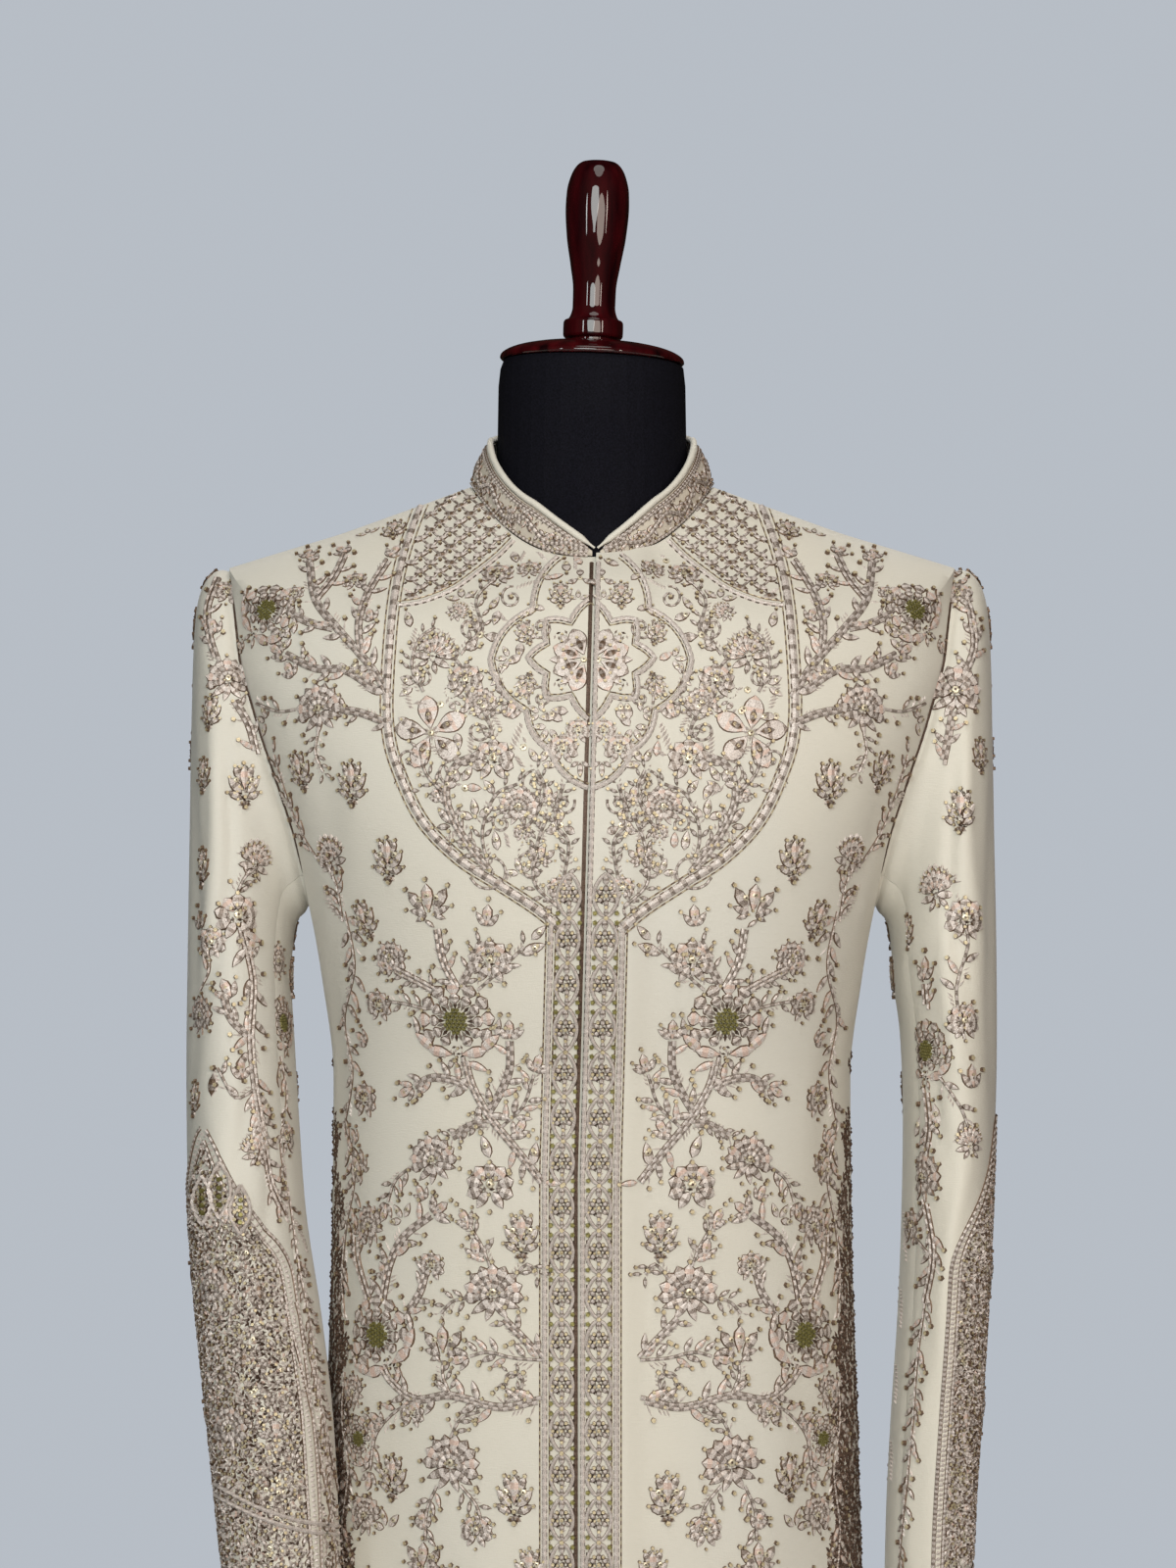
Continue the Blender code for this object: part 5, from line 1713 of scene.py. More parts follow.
def mark_of_leaf(side, turn, leaf, k):
    """What grows beside a stem's point: a leaf, a berry on a stalk or three slanted stitches."""
    lean = turn + side * (38 + 8 * (k % 3))
    pick = k % 5
    if pick == 2:
        stalk = sewn_line("stitch_pale", *polar(lean, 0.48 * leaf), lean, 0.8 * leaf, 3, 1.8)
        return [bead(*polar(lean, 0.95 * leaf), 6 if leaf > 14 else 5), stalk]
    if pick == 4:
        middles = [polar(turn, step, *polar(lean, 0.42 * leaf)) for step in (-4.2, 0, 4.2)]
        return [sewn_line("stitch_pale", *place, lean, 0.55 * leaf, 2.8, 1.8) for place in middles]
    broad = leaf > BROAD_LEAF
    shape = {0: "leaf", 1: "leaf_pale", 3: "leaf_pink"}[pick] if broad else "small_leaf"
    marks = [leaf_from(shape, *polar(lean, 2.5), lean, leaf, 0.42 * leaf, 1.9)]
    return marks if pick == 1 else marks + [bead(*polar(lean, leaf + 3.5), 5.6 if broad else 4.6)]


def sew_stem(sight, stem, mirrored, down=0):
    """A stem with leaves and berries along both sides and a motif at its end."""
    path = smooth_path(np.array(stem.points, float) + [0, down], STEM_STEP)
    if stem.kind == "stem":
        for off, skip in ((STEM_SPREAD, 0), (-STEM_SPREAD, 1)):
            sew_cord(sight, beside(path, off)[skip:], "stem", mirrored)
    else:
        sew_cord(sight, path, "silver", mirrored)
    along = np.gradient(path, axis=0)
    every = max(1, int(round(stem.gap / STEM_STEP)))
    grown = int(sum(stem.points[0]))
    for i in range(every // 2, len(path), every) if stem.leaf else ():
        turn = math.degrees(math.atan2(-along[i][1], along[i][0]))
        for side in SIDES:
            grown += 1
            leaf = stem.leaf * (1 - STEM_TAPER * i / len(path))
            if stem.leaf <= BROAD_LEAF or (grown + i // every) % 4:
                sew_at(sight, mark_of_leaf(side, turn, leaf, grown), *path[i], mirrored=mirrored)
    if stem.end:
        turn = math.atan2(-along[-1][1], along[-1][0]) - math.pi / 2
        x, y = path[-1] + along[-1] / np.linalg.norm(along[-1]) * END_REACH
        sew_at(sight, MOTIFS[stem.end], x, y, turn=turn, size=0.9, mirrored=mirrored)


ROPE_EDGE = 6.4
TRIM_EDGE = 4.4


def rope(sight, points, mirrored):
    """The bib's border: a chain of pale stitches between two gilt lines."""
    fine = smooth_path(points, STEM_STEP)
    for off, kind in ((0, "chain"), (-ROPE_EDGE, "gilt"), (ROPE_EDGE, "gilt")):
        sew_cord(sight, beside(fine, off), kind, mirrored)


def lobes(cusps, bow):
    """A line through cusps that bows out between them, by bow of each gap."""
    points = []
    for (x, y), (far_x, far_y) in zip(cusps, cusps[1:]):
        right = far_x - x
        down = far_y - y
        count = max(2, round(math.hypot(right, down) / 3.4))
        for t in np.arange(count) / count:
            out = bow * 4 * t * (1 - t)
            points.append((x + right * t - down * out, y + down * t + right * out))
    return np.array(points + [cusps[-1]], float)


def trimmed(sight, line, mirrored):
    """A pale band with dotted edges and a fine gilt line outside it."""
    sew_cord(sight, line, "trim", mirrored)
    sew_cord(sight, beside(line, -TRIM_EDGE), "gilt", mirrored)


CURL_POINTS = 22


def sew_curl(sight, spot, mirrored):
    """A tendril that winds in to a bead."""
    hand = 1 if spot.motif == "left" else -1
    path = []
    for k in range(CURL_POINTS):
        x, y = polar(spot.turn + hand * 24 * k, spot.size * (17 - 0.68 * k))
        path.append((spot.x + x, spot.y - y))
    sew_cord(sight, smooth_path(path), "thin", mirrored)
    sew_at(sight, [bead(0, 0, 5)], spot.x, spot.y, mirrored=mirrored)


def sew_bib(sight, mirrored):
    rope(sight, BIB_EDGE, mirrored)
    trimmed(sight, smooth_path(YOKE_EDGE), mirrored)
    trimmed(sight, lobes(MEDALLION, 0.13), mirrored)
    trimmed(sight, lobes(STAR, 0.08), mirrored)
    sew_lattice(sight, mirrored)
    for spot in CURLS:
        sew_curl(sight, spot, mirrored)


def sew_filling(sight, inside, area, pitch, clear, fillings):
    """Small stitches and spangles wherever the work inside an outline leaves cloth bare."""
    taken = [row[:3] for ground in sight.grounds for rows in ground.marks.values() for row in rows]
    taken += [tuple(point[:3]) for ground in sight.grounds for run, _ in ground.cords for point in run]
    tree = KDTree(len(taken))
    for k, place in enumerate(taken):
        tree.insert(place, k)
    tree.balance()
    left, top, right, low = area
    for i, y in enumerate(np.arange(top, low, pitch)):
        for j, x in enumerate(np.arange(left + pitch / 2 * (i % 2), right, pitch)):
            x += 0.4 * pitch * (chance(i, j) - 0.5)
            y += 0.4 * pitch * (chance(i, j, 1) - 0.5)
            found = seen_at(sight, x, y)
            if found is None or not inside(x, y) or tree.find(found[1])[2] < clear * PIXEL:
                continue
            ground, place, normal = found
            picked = fillings[int(chance(i, j, 2) * len(fillings))]
            lay(ground, picked, place, normal, 3.1 * chance(i, j, 3))


FILLINGS = (
    [Mark("leaf_pale", 0, 0, 0.4, 18, 10, 1.8), spangle(3, 1, 6, 3.8), bead(11, 5, 4.4)],
    [Mark("leaf_pale", 0, 0, 2.2, 17, 10, 1.8), bead(-2, 3, 4)],
    [spangle(0, 0, 7.5), Mark("stitch_pale", 7, 2, 0.9, 9, 4, 2)],
    [Mark("leaf_pink", 0, 0, -0.5, 16, 9, 1.8), bead(10, -5, 4.4)],
    [Mark("stitch_pale", 4 * k, 1.5 * k, 0.9, 12, 4.4, 2.2) for k in (-1, 0, 1)],
)
LATTICE_ORIGIN = (420, 608)
LATTICE_WAY = (0.77, 0.64)  # how far right and up a cord of the lattice runs for each pixel
LATTICE_STEP = 13
LATTICE_RIGHT = 535
LATTICE_REACH = 190
COLLAR_FOOT = ((480, 498), (500, 520), (520, 536), (545, 552))


def line_y(line, x):
    """How far down a line of pixels is at x."""
    return np.interp(x, *zip(*line))


def line_x(line, y):
    """How far right a line of pixels is at y."""
    xs, ys = zip(*line)
    return np.interp(y, ys, xs)


def in_yoke(x, y):
    """Whether a pixel lies in the lattice beside the collar."""
    top = line_y(COLLAR_FOOT, x) + 4 if x >= COLLAR_FOOT[0][0] else 0
    return top < y < line_y(YOKE_EDGE, x) - 7 and line_x(BIB_EDGE, y) + 9 < x < LATTICE_RIGHT


def sew_lattice(sight, mirrored):
    """Crossing cords with a leaf in each diamond, in the corner beside the collar."""
    across, down = (LATTICE_STEP * way for way in LATTICE_WAY)
    for slant in (1, -1):
        for k in range(-10, 18):
            run = []
            for t in np.arange(-LATTICE_REACH, LATTICE_REACH, CORD_STEP):
                x = LATTICE_ORIGIN[0] + k * across + t * LATTICE_WAY[0]
                y = LATTICE_ORIGIN[1] - slant * k * down + slant * t * LATTICE_WAY[1]
                if in_yoke(x, y):
                    run.append((x, y))
                elif run:
                    if len(run) > 2:
                        sew_cord(sight, run, "thin", mirrored)
                    run = []
    for i in range(-8, 18):
        for j in range(-18, 8):
            x = LATTICE_ORIGIN[0] + across * (i + (j % 2))
            y = LATTICE_ORIGIN[1] + down * j
            if (i % 2) == 0 and in_yoke(x, y):
                shape = "bronze_leaf" if chance(i, j) < 0.45 else "leaf_pale"
                lean = 0.25 if j % 2 else -0.3
                marks = [Mark(shape, 0, 0, lean, 15, 8.5, 2.2), bead(9, 3, 4.4)]
                marks.append(Mark("stitch_bronze", -6, -4, lean + 0.8, 6, 3.4, 2))
                sew_at(sight, marks, x, y, mirrored=mirrored)


def edge_pixel(y):
    """Where the lapping edge runs in the picture at a height in pixels."""
    z = CAMERA_Z + (PICTURE_HEIGHT / 2 - y) * PIXEL
    return PICTURE_WIDTH / 2 + (edge_x(z) - CAMERA_X) / PIXEL


def down_edge(off, start, step=CORD_STEP):
    ys = np.arange(start, BAND_LOW, step)
    return np.array([(edge_pixel(y) + off, y) for y in ys])


# The band on one side of the lapping edge: where its parts run, in pixels from the edge.
Strip = namedtuple("Strip", "middle border gilt inner cord cell")
STRIPS = table(Strip,
    # On the under side the inner cord is dark thread, a painted shadow of the lapping edge.
    (-18.8, -36.4, (-41.2, -31.4), -4.4, "shadow", 11.6),
    (19, 37, (41.8, 32.2), 2.6, "edge", 12.6),
)


def sew_band(sight):
    """The band down both sides of the front edge: borders and a chain of framed flowers."""
    for strip in STRIPS:
        sew_cord(sight, down_edge(strip.border, BAND_TOP), "trim")
        for off in strip.gilt:
            sew_cord(sight, down_edge(off, BAND_TOP), "gilt")
        sew_cord(sight, down_edge(strip.inner, EDGE_TOP), strip.cord)
        for x, y in down_edge(strip.middle, FIRST_ROSETTE, ROSETTE_PITCH):
            sew_at(sight, MOTIFS["rosette"], x, y)
            sew_at(sight, MOTIFS["between"], x, y + ROSETTE_PITCH / 2)
        path = down_edge(strip.middle, FIRST_ROSETTE - ROSETTE_PITCH / 2, ROSETTE_PITCH / CELL_STEPS)
        turns = math.pi * np.arange(len(path)) / CELL_STEPS
        swing = strip.cell * np.abs(np.sin(turns)) ** 0.7
        for side in SIDES:
            sew_cord(sight, path + np.stack([side * swing, 0 * swing], axis=1), "frame")


def sew_plants(sight, spots, stems, mirrored=False, down=0):
    """The motifs and the stems of two tables."""
    for spot in spots:
        turn = math.radians(spot.turn)
        sew_at(sight, MOTIFS[spot.motif], spot.x, spot.y + down, turn, spot.size, mirrored)
    for stem in stems:
        sew_stem(sight, stem, mirrored, down)


def sew_again(sight, mirrored):
    """The lowest plants of the front once more, lower down."""
    spots = [spot for spot in FRONT_SPOTS if AGAIN_TOP < spot.y < AGAIN_LOW]
    stems = [stem for stem in FRONT_STEMS if all(AGAIN_TOP < y < AGAIN_LOW for _, y in stem.points)]
    sew_plants(sight, spots, stems, mirrored, AGAIN_DOWN)


def sew_front(sight):
    sew_band(sight)
    for mirrored in (False, True):
        sew_bib(sight, mirrored)
        sew_plants(sight, FRONT_SPOTS, FRONT_STEMS, mirrored)
        sew_again(sight, mirrored)
    sew_filling(sight, in_bib, BIB_AREA, BIB_PITCH, BIB_CLEAR, FILLINGS)
    # Dark stitches round the sides, which partly paint the shade there.
    for mirrored in (False, True):
        sew_side_shade_stitches(sight, mirrored)


# Where the side's close dark stitches run, in pixels; they partly paint the shade where the side turns from
# the light.
SIDE_TOP = 1050
SIDE_LOW = 1640
SIDE_LEFT = 322
SIDE_PITCH = (2.4, 6)
SIDE_SCALLOP = 7
SIDE_EDGE = ((336, SIDE_TOP), (350, 1200), (360, 1610), (330, SIDE_LOW))


def sew_side_shade_stitches(sight, mirrored):
    """Close dark stitches round the side: partly real close work, partly painted shade where the side turns
    away from the light.
    """
    for i, y in enumerate(np.arange(SIDE_TOP, SIDE_LOW, SIDE_PITCH[1])):
        inner = line_x(SIDE_EDGE, y) - SIDE_SCALLOP * math.sin(y / 23) ** 2
        for j, x in enumerate(np.arange(SIDE_LEFT, inner, SIDE_PITCH[0])):
            turn = 3.1 * chance(i, j, 7)
            shape = "stitch" if chance(i, j, 8) < 0.2 else "stitch_bronze"
            marks = [Mark(shape, 0, 0, turn, 12, 6, 2.2), Mark("stitch_bronze", 2, 4, turn + 1, 10, 5, 2)]
            sew_at(sight, marks, x + 2 * chance(i, j), y + 4 * chance(j, i), mirrored=mirrored)


def in_bib(x, y):
    """Whether a pixel lies inside the bib's border and below its lattice."""
    x = min(x, MIRROR_X - x)
    within = BIB_AREA[1] < y < BIB_AREA[3]
    return x > line_x(BIB_EDGE, y) + 13 and y > line_y(YOKE_EDGE, x) + 14 and within


# -------- sleeves, collar and back

# The wearer's right sleeve as the picture shows it, then the left one.
RIGHT_ARM_SPOTS = grouped(Spot,
    blossom=((233, 692, 10, 0.9), (283, 980, 0, 0.7), (205, 1035, 0, 0.8)),
    bud=(
        (218, 640, 30, 0.9), (256, 968, -10), (232, 1010, 30), (246, 1092), (226, 560, 0, 0.7),
        (310, 1296, 20, 0.8),
    ),
    small=(
        (232, 604, 0, 0.8), (243, 932, 0, 1.3), (215, 960, 0, 0.9), (292, 1160, 0, 0.9),
        (326, 1470, 0, 0.6),
    ),
    buti=((214, 726, 0, 0.8), (249, 800), (208, 790, 0, 0.8), (207, 884, 0, 0.9), (199, 1120, 0, 0.8)),
    fan=((262, 872, -16, 0.95), (262, 1168, 0, 0.8)),
    lotus=((289, 1044, 0, 0.72),),
    drop=((217, 1108, 0, 1.1),),
    leaf=((284, 1110, -20), (276, 1140, 20)),
    feather=((290, 1210, -30), (293, 1250, -20)),
)
RIGHT_ARM_STEMS = table(Stem,
    ("stem", ((262, 770), (254, 740), (240, 715)), 17, 13),
    ("stem", ((222, 676), (214, 650), (212, 620), (222, 590)), 19, 14, "bud"),
    ("stem", ((246, 946), (258, 1000), (256, 1060), (262, 1120), (270, 1160)), 24, 15),
    ("stem", ((256, 1060), (236, 1040), (228, 1016)), 19, 14),
    ("thin", ((262, 1110), (240, 1120), (222, 1090)), 18, 13),
    ("thin", ((240, 916), (250, 895), (262, 885)), 15, 12),
    ("thin", ((205, 1010), (214, 985), (206, 950)), 18, 13, "bud"),
    ("thin", ((286, 1078), (292, 1120), (286, 1170), (296, 1230), (304, 1290)), 17, 14),
    ("thin", ((304, 1290), (316, 1350), (324, 1410), (334, 1480), (338, 1540), (346, 1610)), 15, 12),
    ("stem", ((262, 1120), (268, 1160), (276, 1205), (290, 1240)), 19, 14),
)
LEFT_ARM_SPOTS = grouped(Spot,
    blossom=((975, 704, 0, 1.1), (942, 1200)),
    bud=((992, 640, -20, 0.9), (944, 990, 0, 1.1), (992, 1100, 0, 1.1), (985, 560, 0, 0.7)),
    small=((978, 606, 0, 0.9), (985, 935, 0, 1.2), (984, 1040), (930, 1250)),
    buti=((980, 826), (1000, 770, 0, 0.8), (927, 950, 0, 0.8)),
    fan=((954, 900, 14, 1.05), (990, 1160, 0, 0.8)),
    lotus=((945, 1072, 0, 0.8),),
    leaf=((958, 1150, 20, 1.1), (934, 1160, -20, 1.1)),
    feather=((925, 1290, 20, 0.9),),
)
LEFT_ARM_STEMS = table(Stem,
    ("stem", ((962, 780), (968, 750), (972, 726)), 17, 13),
    ("stem", ((984, 690), (994, 660), (990, 624), (978, 594)), 19, 14, "bud"),
    ("stem", ((945, 1110), (948, 1150), (944, 1180)), 20, 13),
    ("stem", ((946, 1030), (944, 1004)), 16, 12),
    ("stem", ((944, 1224), (952, 1280), (944, 1330)), 22, 14),
    ("thin", ((944, 1330), (936, 1390), (932, 1450), (926, 1510), (920, 1570), (916, 1620)), 17, 12),
    ("thin", ((984, 1060), (976, 1010), (988, 960), (976, 925)), 20, 14),
    ("thin", ((960, 1100), (980, 1130), (988, 1150)), 17, 13),
    ("thin", ((948, 1280), (934, 1262), (930, 1250)), 15, 12),
)
# What the picture doesn't show of each sleeve, at a share of its length and of its width.
Turnout = namedtuple("Turnout", "motif row column size", defaults=(1,))
ARM_BACK = grouped(Turnout,
    buti=((0.1, 0.16, 0.9), (0.22, 0.1, 0.9), (0.3, 0.24), (0.26, 0.42, 0.9)),
    blossom=((0.16, 0.3, 0.9), (0.4, 0.4, 0.8)),
    fan=((0.37, 0.13),),
    bud=((0.42, 0.28), (0.5, 0.33), (0.12, 0.44, 0.9)),
    lotus=((0.48, 0.16, 0.8),),
    small=((0.34, 0.36, 1.1),),
)
UNDER_ARM = grouped(Turnout,
    buti=((0.3, 0.5, 0.9), (0.45, 0.35, 0.9), (0.6, 0.6, 0.9), (0.76, 0.7, 0.9), (0.9, 0.7, 0.9)),
    frond=((0.72, 0.2, 0.9), (0.78, 0.2, 0.9), (0.84, 0.2, 0.9), (0.9, 0.2, 0.9)),
)
PANEL_APEX = 0.637  # share of the sleeve's length at the top of the dense panel
PANEL_SHOULDER = 0.738
PANEL_FOOT = 0.955
# The shares of the top sleeve's width that the panel reaches to, on each arm.
PANEL_SPANS = {"right": (0.33, 0.975), "left": (0.16, 0.80)}
PANEL_PITCH = 0.0028
PANEL_BORDER = 0.048  # how wide its border is, as a share of the sleeve's width
PANEL_INSIDE = 0.055
TOP_SLEEVE_LENGTH = 0.66
TOP_SLEEVE_WIDTH = 0.20
# Rows of the cuff below the panel, as shares of the sleeve's length from the panel's foot.
CUFF_CORDS = (0.006, 0.018, 0.034)
CUFF_BEADS = 0.012
CUFF_STITCHES = 0.026


def panel_reach(row):
    """How wide the dense panel is at a row, as a share of its full width."""
    share = np.clip((row - PANEL_APEX) / (PANEL_SHOULDER - PANEL_APEX), 0, 1)
    return float(share**0.75 * (1 - 0.12 * math.sin(TURN * share)))


def middle_and_half(span):
    return (span[0] + span[1]) / 2, (span[1] - span[0]) / 2


def panel_edge(span, side, inset):
    """The dense panel's edge from its apex to its foot, on the back or the front side."""
    middle, half = middle_and_half(span)
    rows = np.linspace(PANEL_APEX, PANEL_FOOT, 170)
    edge = [(row, side * (half * panel_reach(row) - inset)) for row in rows]
    return [(row, middle + off) for row, off in edge if off * side > 0]


def sew_grid_cord(ground, path, kind):
    run = [(*place, *normal) for place, normal in (ground.at(*spot) for spot in path)]
    keep_run(ground, run, CORDS[kind])


def sew_grid(ground, marks, row, column, turn=0, size=1):
    place, normal = ground.at(row, column)
    lay(ground, marks, place, normal, turn, size)


# Below the turn of the forearm the panel runs on across the seam, up to this line.
FOREARM_LINE = ((296, 1330), (314, 1400), (331, 1480), (344, 1556), (350, 1612), (352, 1660))
FOREARM_FILL = (290, 1335, 356, 1665)
FOREARM_PITCH = 5.2
FOREARM_CLEAR = 3.6
FOREARM_BORDER = 5.5  # pixels from the line to each of its two cords
BORDER_STITCH = Mark("stitch_pale", 0, 0, 0.4, 8, 5, 2.6)


def sew_forearm(sight):
    """The dense panel where it passes over the front seam to the sleeve's inner side."""
    line = smooth_path(FOREARM_LINE)
    for off in (FOREARM_BORDER, -FOREARM_BORDER):
        sew_cord(sight, beside(line, off), "border")
    sew_row(sight, smooth_path(FOREARM_LINE, 8), BORDER_STITCH)

    def inside(x, y):
        return x < line_x(FOREARM_LINE, y) - 8

    fills = [panel_fill(i, j) for i in range(5) for j in range(5)]
    sew_filling(sight, inside, FOREARM_FILL, FOREARM_PITCH, FOREARM_CLEAR, fills)


def sew_cuff_panel(ground, span):
    """The forearm's dense panel: close fillings in a scrolled net, edged with beads."""
    for side in SIDES:
        for inset in (0, PANEL_BORDER):
            sew_grid_cord(ground, panel_edge(span, side, inset), "border")
        for row, column in panel_edge(span, side, PANEL_BORDER / 2)[1::2]:
            sew_grid(ground, [BORDER_STITCH], row, column)
    tall = PANEL_FOOT - PANEL_APEX
    rows = int(tall * TOP_SLEEVE_LENGTH / PANEL_PITCH)
    columns = int(TOP_SLEEVE_WIDTH * (span[1] - span[0]) / PANEL_PITCH)
    middle, half = middle_and_half(span)
    for i in range(rows):
        row = PANEL_APEX + tall * (i + 0.5) / rows
        for j in range(columns):
            across = (j + 0.5 + 0.5 * (i % 2)) / columns * 2 - 1
            if abs(across) * half < half * panel_reach(row) - PANEL_INSIDE:
                shift = (chance(i, j, 4) - 0.5) / columns
                drift = (chance(i, j, 5) - 0.5) * 0.8 / rows * tall
                sew_grid(ground, panel_fill(i, j), row + drift, middle + (across + shift) * half)
    sew_panel_flowers(ground, middle, half)
    for row in CUFF_CORDS:
        sew_grid_cord(ground, [(PANEL_FOOT + row, c) for c in np.linspace(0.005, 0.995, 160)], "silver")
    for column in np.linspace(0.01, 0.99, 70):
        sew_grid(ground, [bead(0, 0, 4.4)], PANEL_FOOT + CUFF_BEADS, column)
        stitch = Mark("stitch_pale", 0, 0, 1.2, 8, 3, 1.6)
        sew_grid(ground, [stitch], PANEL_FOOT + CUFF_STITCHES, column)


def panel_fill(i, j):
    """What fills one cell of the dense panel: leaves, stitches, beads or a spangle."""
    lean = math.pi * chance(i, j, 1)
    off = 5 * (chance(i, j, 3) - 0.5)
    pick = chance(i, j, 2)
    if pick < 0.17:
        return [Mark("small_leaf", off, 0, lean, 10, 5.5, 2.2)]
    if pick < 0.36:
        return [bead(off, 0, 4.2), Mark("stitch_pale", -off, -3, lean, 8, 3.4, 2.2)]
    if pick < 0.40:
        return [spangle(off, 0, 5.6, 2.6), Mark("stitch", -3, off, lean, 7, 3, 2)]
    first = "stitch" if pick < 0.62 else "stitch_bronze" if pick < 0.76 else "stitch_pale"
    second = "stitch_bronze" if pick < 0.66 else "stitch_pink" if pick < 0.74 else "stitch"
    marks = [Mark(first, off, 2, lean, 9.5, 4.2, 2.5), Mark(second, -off, -2, lean + 0.9, 8.5, 4, 2.2)]
    return marks + [Mark("stitch_pale", off / 2, off, lean - 1.2, 8, 3.4, 2.7)]


def sew_panel_flowers(ground, middle, half):
    """A column of flowers standing a little proud of the panel's filling."""
    for k, row in enumerate(np.arange(PANEL_APEX + 0.055, PANEL_FOOT - 0.02, 0.052)):
        for across in (-0.55, 0, 0.55) if k % 2 else (-0.28, 0.28):
            if abs(across) < panel_reach(row) - 0.3:
                motif = "blossom" if across == 0 else "drop" if k % 3 else "bud"
                raised = [mark._replace(height=mark.height + 1.6) for mark in MOTIFS[motif]]
                sew_grid(ground, raised, row, middle + across * half, size=0.85)


# The panel's raised outlines on the wearer's right arm: a leaf at x, top, across and long.
Lens = namedtuple("Lens", "x top across long")
PANEL_LEAVES = (Lens(208, 1200, 18, 50), Lens(225, 1186, 21, 58), Lens(245, 1210, 19, 50))
PANEL_SWAG = ((196, 1500), (222, 1520), (262, 1542), (304, 1556), (344, 1562))


def sew_panel_lines(sight):
    """Pointed leaves under the panel's apex and a swag of two cords above the cuff."""
    for lens in PANEL_LEAVES:
        for side in SIDES:
            line = [
                (lens.x + side * lens.across / 2 * math.sin(math.pi * s), lens.top + lens.long * s)
                for s in np.linspace(0, 1, 16)
            ]
            sew_cord(sight, line, "raised")
        for s in (0.3, 0.45, 0.6, 0.75):
            marks = [round_mark("olive_bead", 0, 0, 6, 5), bead(5, 3, 5), bead(-5, 3, 5)]
            sew_at(sight, marks, lens.x, lens.top + lens.long * s)
    for off in (-4.5, 4.5):
        sew_cord(sight, beside(smooth_path(PANEL_SWAG), off), "raised")


def sew_sleeves(grounds):
    arms = {name: ground for name, ground in grounds.items() if "sleeve" in name}
    for word, spots, stems in (
        ("right", RIGHT_ARM_SPOTS, RIGHT_ARM_STEMS),
        ("left", LEFT_ARM_SPOTS, LEFT_ARM_STEMS),
    ):
        sight = Sight([ground for name, ground in arms.items() if word in name], False)
        sew_plants(sight, spots, stems)
        top = arms["top_sleeve_" + word]
        # A dark cord along the armhole seam: a seam line that also paints the shade in its valley.
        sew_grid_cord(top, [(0.004, share) for share in np.linspace(0.004, 0.996, 120)], "seam")
        sew_cuff_panel(top, PANEL_SPANS[word])
        if word == "right":
            sew_forearm(sight)
            sew_panel_lines(sight)
        for spot in ARM_BACK:
            sew_grid(top, MOTIFS[spot.motif], spot.row, spot.column, 0, spot.size)
        for spot in UNDER_ARM:
            sew_grid(arms["under_sleeve_" + word], MOTIFS[spot.motif], spot.row, spot.column, 0, spot.size)


COLLAR_WAVE = 0.034  # metres of the collar's length for one wave of its vine
COLLAR_RUN = 0.46
# Rows of the collar's work, as shares of its height.
COLLAR_CORDS = ((0.93, "thin"), (0.85, "silver"), (0.05, "silver"))
VINE_ROW = 0.44
VINE_SWING = 0.17
VINE_ROOM = (0.12, 0.78)
COLLAR_BEADS = 0.14
COLLAR_STITCHES = 0.77


def sew_collar(ground):
    """Cords along the band's two edges and a beaded vine of leaves between them."""
    shares = np.linspace(0.006, 0.994, 320)
    for row, kind in COLLAR_CORDS:
        sew_grid_cord(ground, [(row, share) for share in shares], kind)
    waves = COLLAR_RUN / COLLAR_WAVE

    def vine(share):
        return VINE_ROW + VINE_SWING * math.sin(TURN * waves * share)

    sew_grid_cord(ground, [(vine(share), share) for share in shares], "stem")
    count = int(waves * 2)
    for k in range(count):
        side = 1 if k % 2 else -1
        flower = MOTIFS["small"] if k % 2 else MOTIFS["trefoil"]
        sew_grid(ground, flower, 0.45 - 0.14 * side, (k + 0.5) / count, 0.4 * side, 0.62)
    for k, share in enumerate(np.arange(0.012, 0.988, 0.0042 / COLLAR_RUN)):
        for side in SIDES:
            row = vine(share) + side * VINE_SWING
            if VINE_ROOM[0] < row < VINE_ROOM[1]:
                lean = math.pi / 2 * side + 0.7 * (1 if k % 2 else -1)
                shape = ("small_leaf", "small_pink", "bronze_leaf")[(k + side) % 3]
                sew_grid(ground, [Mark(shape, 0, 0, lean, 10, 5, 1.6)], row, share)
        edge = bead(0, 0, 3.6) if k % 2 else Mark("stitch_pale", 0, 0, 1, 6, 2.2, 1.5)
        sew_grid(ground, [edge], COLLAR_BEADS, share)
        sew_grid(ground, [Mark("stitch", 0, 0, 1, 6, 2.2, 1.5)], COLLAR_STITCHES, share)


BACK_SPOTS = grouped(Spot,
    buti=(
        (560, 640), (500, 700), (560, 760), (440, 640), (440, 760), (500, 820), (560, 880), (380, 700),
        (500, 600, 0, 0.9), (380, 590, 0, 0.9), (555, 560, 0, 0.8), (320, 650, 0, 0.9),
    ),
)
# How high the front's plants reach on the back, at its sides and nearer its middle.
BACK_TOP = 780
BACK_TOP_MIDDLE = 904
BACK_STEMS = 760
BACK_STEMS_MIDDLE = 925


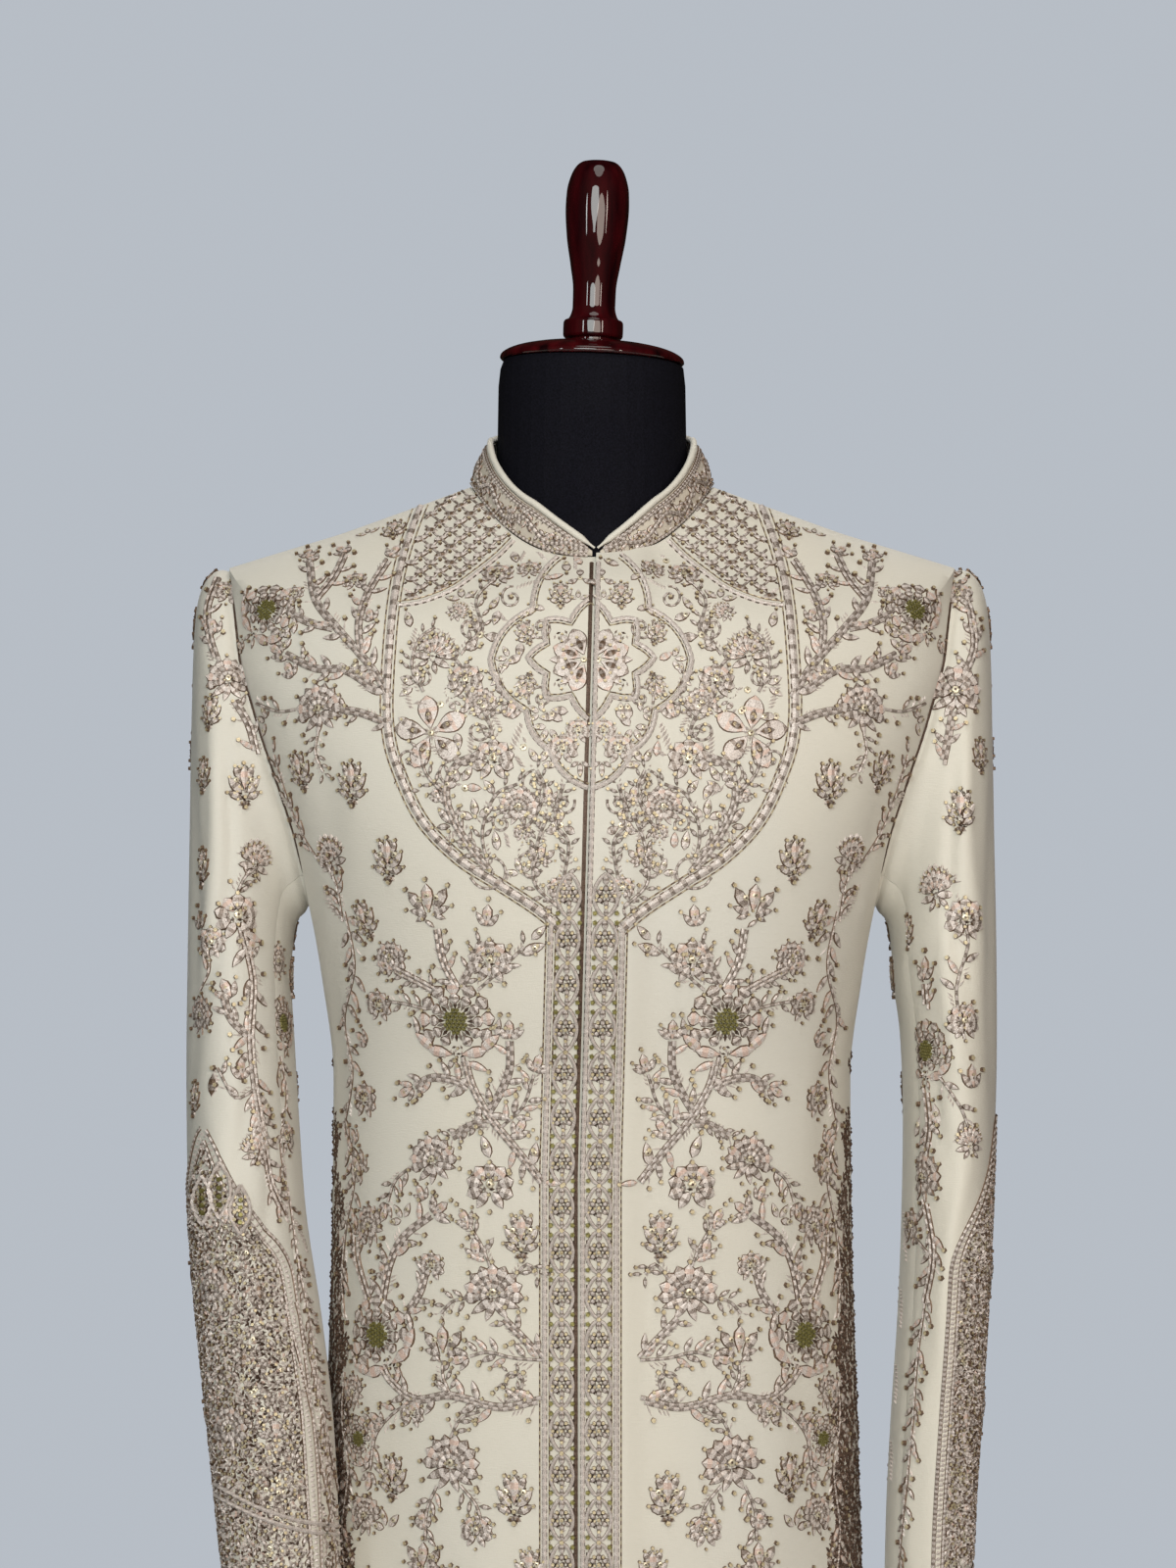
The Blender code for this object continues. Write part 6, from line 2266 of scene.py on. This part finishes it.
def sew_back(grounds):
    """The back, which the picture doesn't show: sprigs above, the front's plants below."""
    sight = Sight([grounds["back_left"], grounds["back_right"]], True)
    spots = list(BACK_SPOTS)
    spots += [spot for spot in FRONT_SPOTS if spot.y > (BACK_TOP_MIDDLE if spot.x > 380 else BACK_TOP)]
    stems = []
    for stem in FRONT_STEMS:
        right = max(x for x, _ in stem.points)
        top = min(y for _, y in stem.points)
        if top > BACK_STEMS_MIDDLE or (right < 360 and top > BACK_STEMS):
            stems.append(stem)
    for mirrored in (False, True):
        sew_plants(sight, spots, stems, mirrored)
        sew_again(sight, mirrored)


# Cords along the hem and the side slits, at shares of a panel's height and width.
HEM_CORDS = ((0.006, "silver"), (0.016, "thin"), (0.05, "thin"))
SLIT_CORDS = ((0.992, "silver"), (0.975, "thin"))
HEM_STITCHES = 0.026
HEM_SPRIGS = 0.038


def sew_hems(grounds):
    """Cords and rows of stitches and sprigs round the hem, and cords down the side slits."""
    for name in ("front_left", "front_right", "back_left", "back_right"):
        ground = grounds[name]
        for row, kind in HEM_CORDS:
            sew_grid_cord(ground, [(row, c) for c in np.linspace(0.004, 0.996, 200)], kind)
        for k, column in enumerate(np.linspace(0.01, 0.99, 90)):
            marks = [Mark("stitch_pale", 0, 0, 1.1, 9, 3, 1.7)] if k % 3 else [bead(0, 0)]
            sew_grid(ground, marks, HEM_STITCHES, column)
            if k % 4 == 0:
                sew_grid(ground, MOTIFS["sprig"], HEM_SPRIGS, column, 0, 0.6)
        slit = np.linspace(0.004, SKIRT_ROWS / len(ground.outer), 140)
        for column, kind in SLIT_CORDS:
            sew_grid_cord(ground, [(row, column) for row in slit], kind)


def sew_all(grids):
    """The sewn work of every piece, by the piece's name."""
    grounds = {name: Ground(name, outer, facing) for name, (outer, facing) in grids.items()}
    fronts = Sight([grounds["front_left"], grounds["front_right"]], False)
    sew_front(fronts)
    sew_back(grounds)
    sew_hems(grounds)
    sew_sleeves(grounds)
    sew_collar(grounds["collar"])
    materials = [thread_material(thread) for thread in THREADS]
    return {name: sewn_object(ground, materials) for name, ground in grounds.items()}


# -------- all of it


def main():
    make_camera()
    make_lights()
    make_world()
    make_floor()
    grids, shells = make_cloth()
    piping = make_piping()
    dress_form()
    sewn = sew_all(grids)


main()
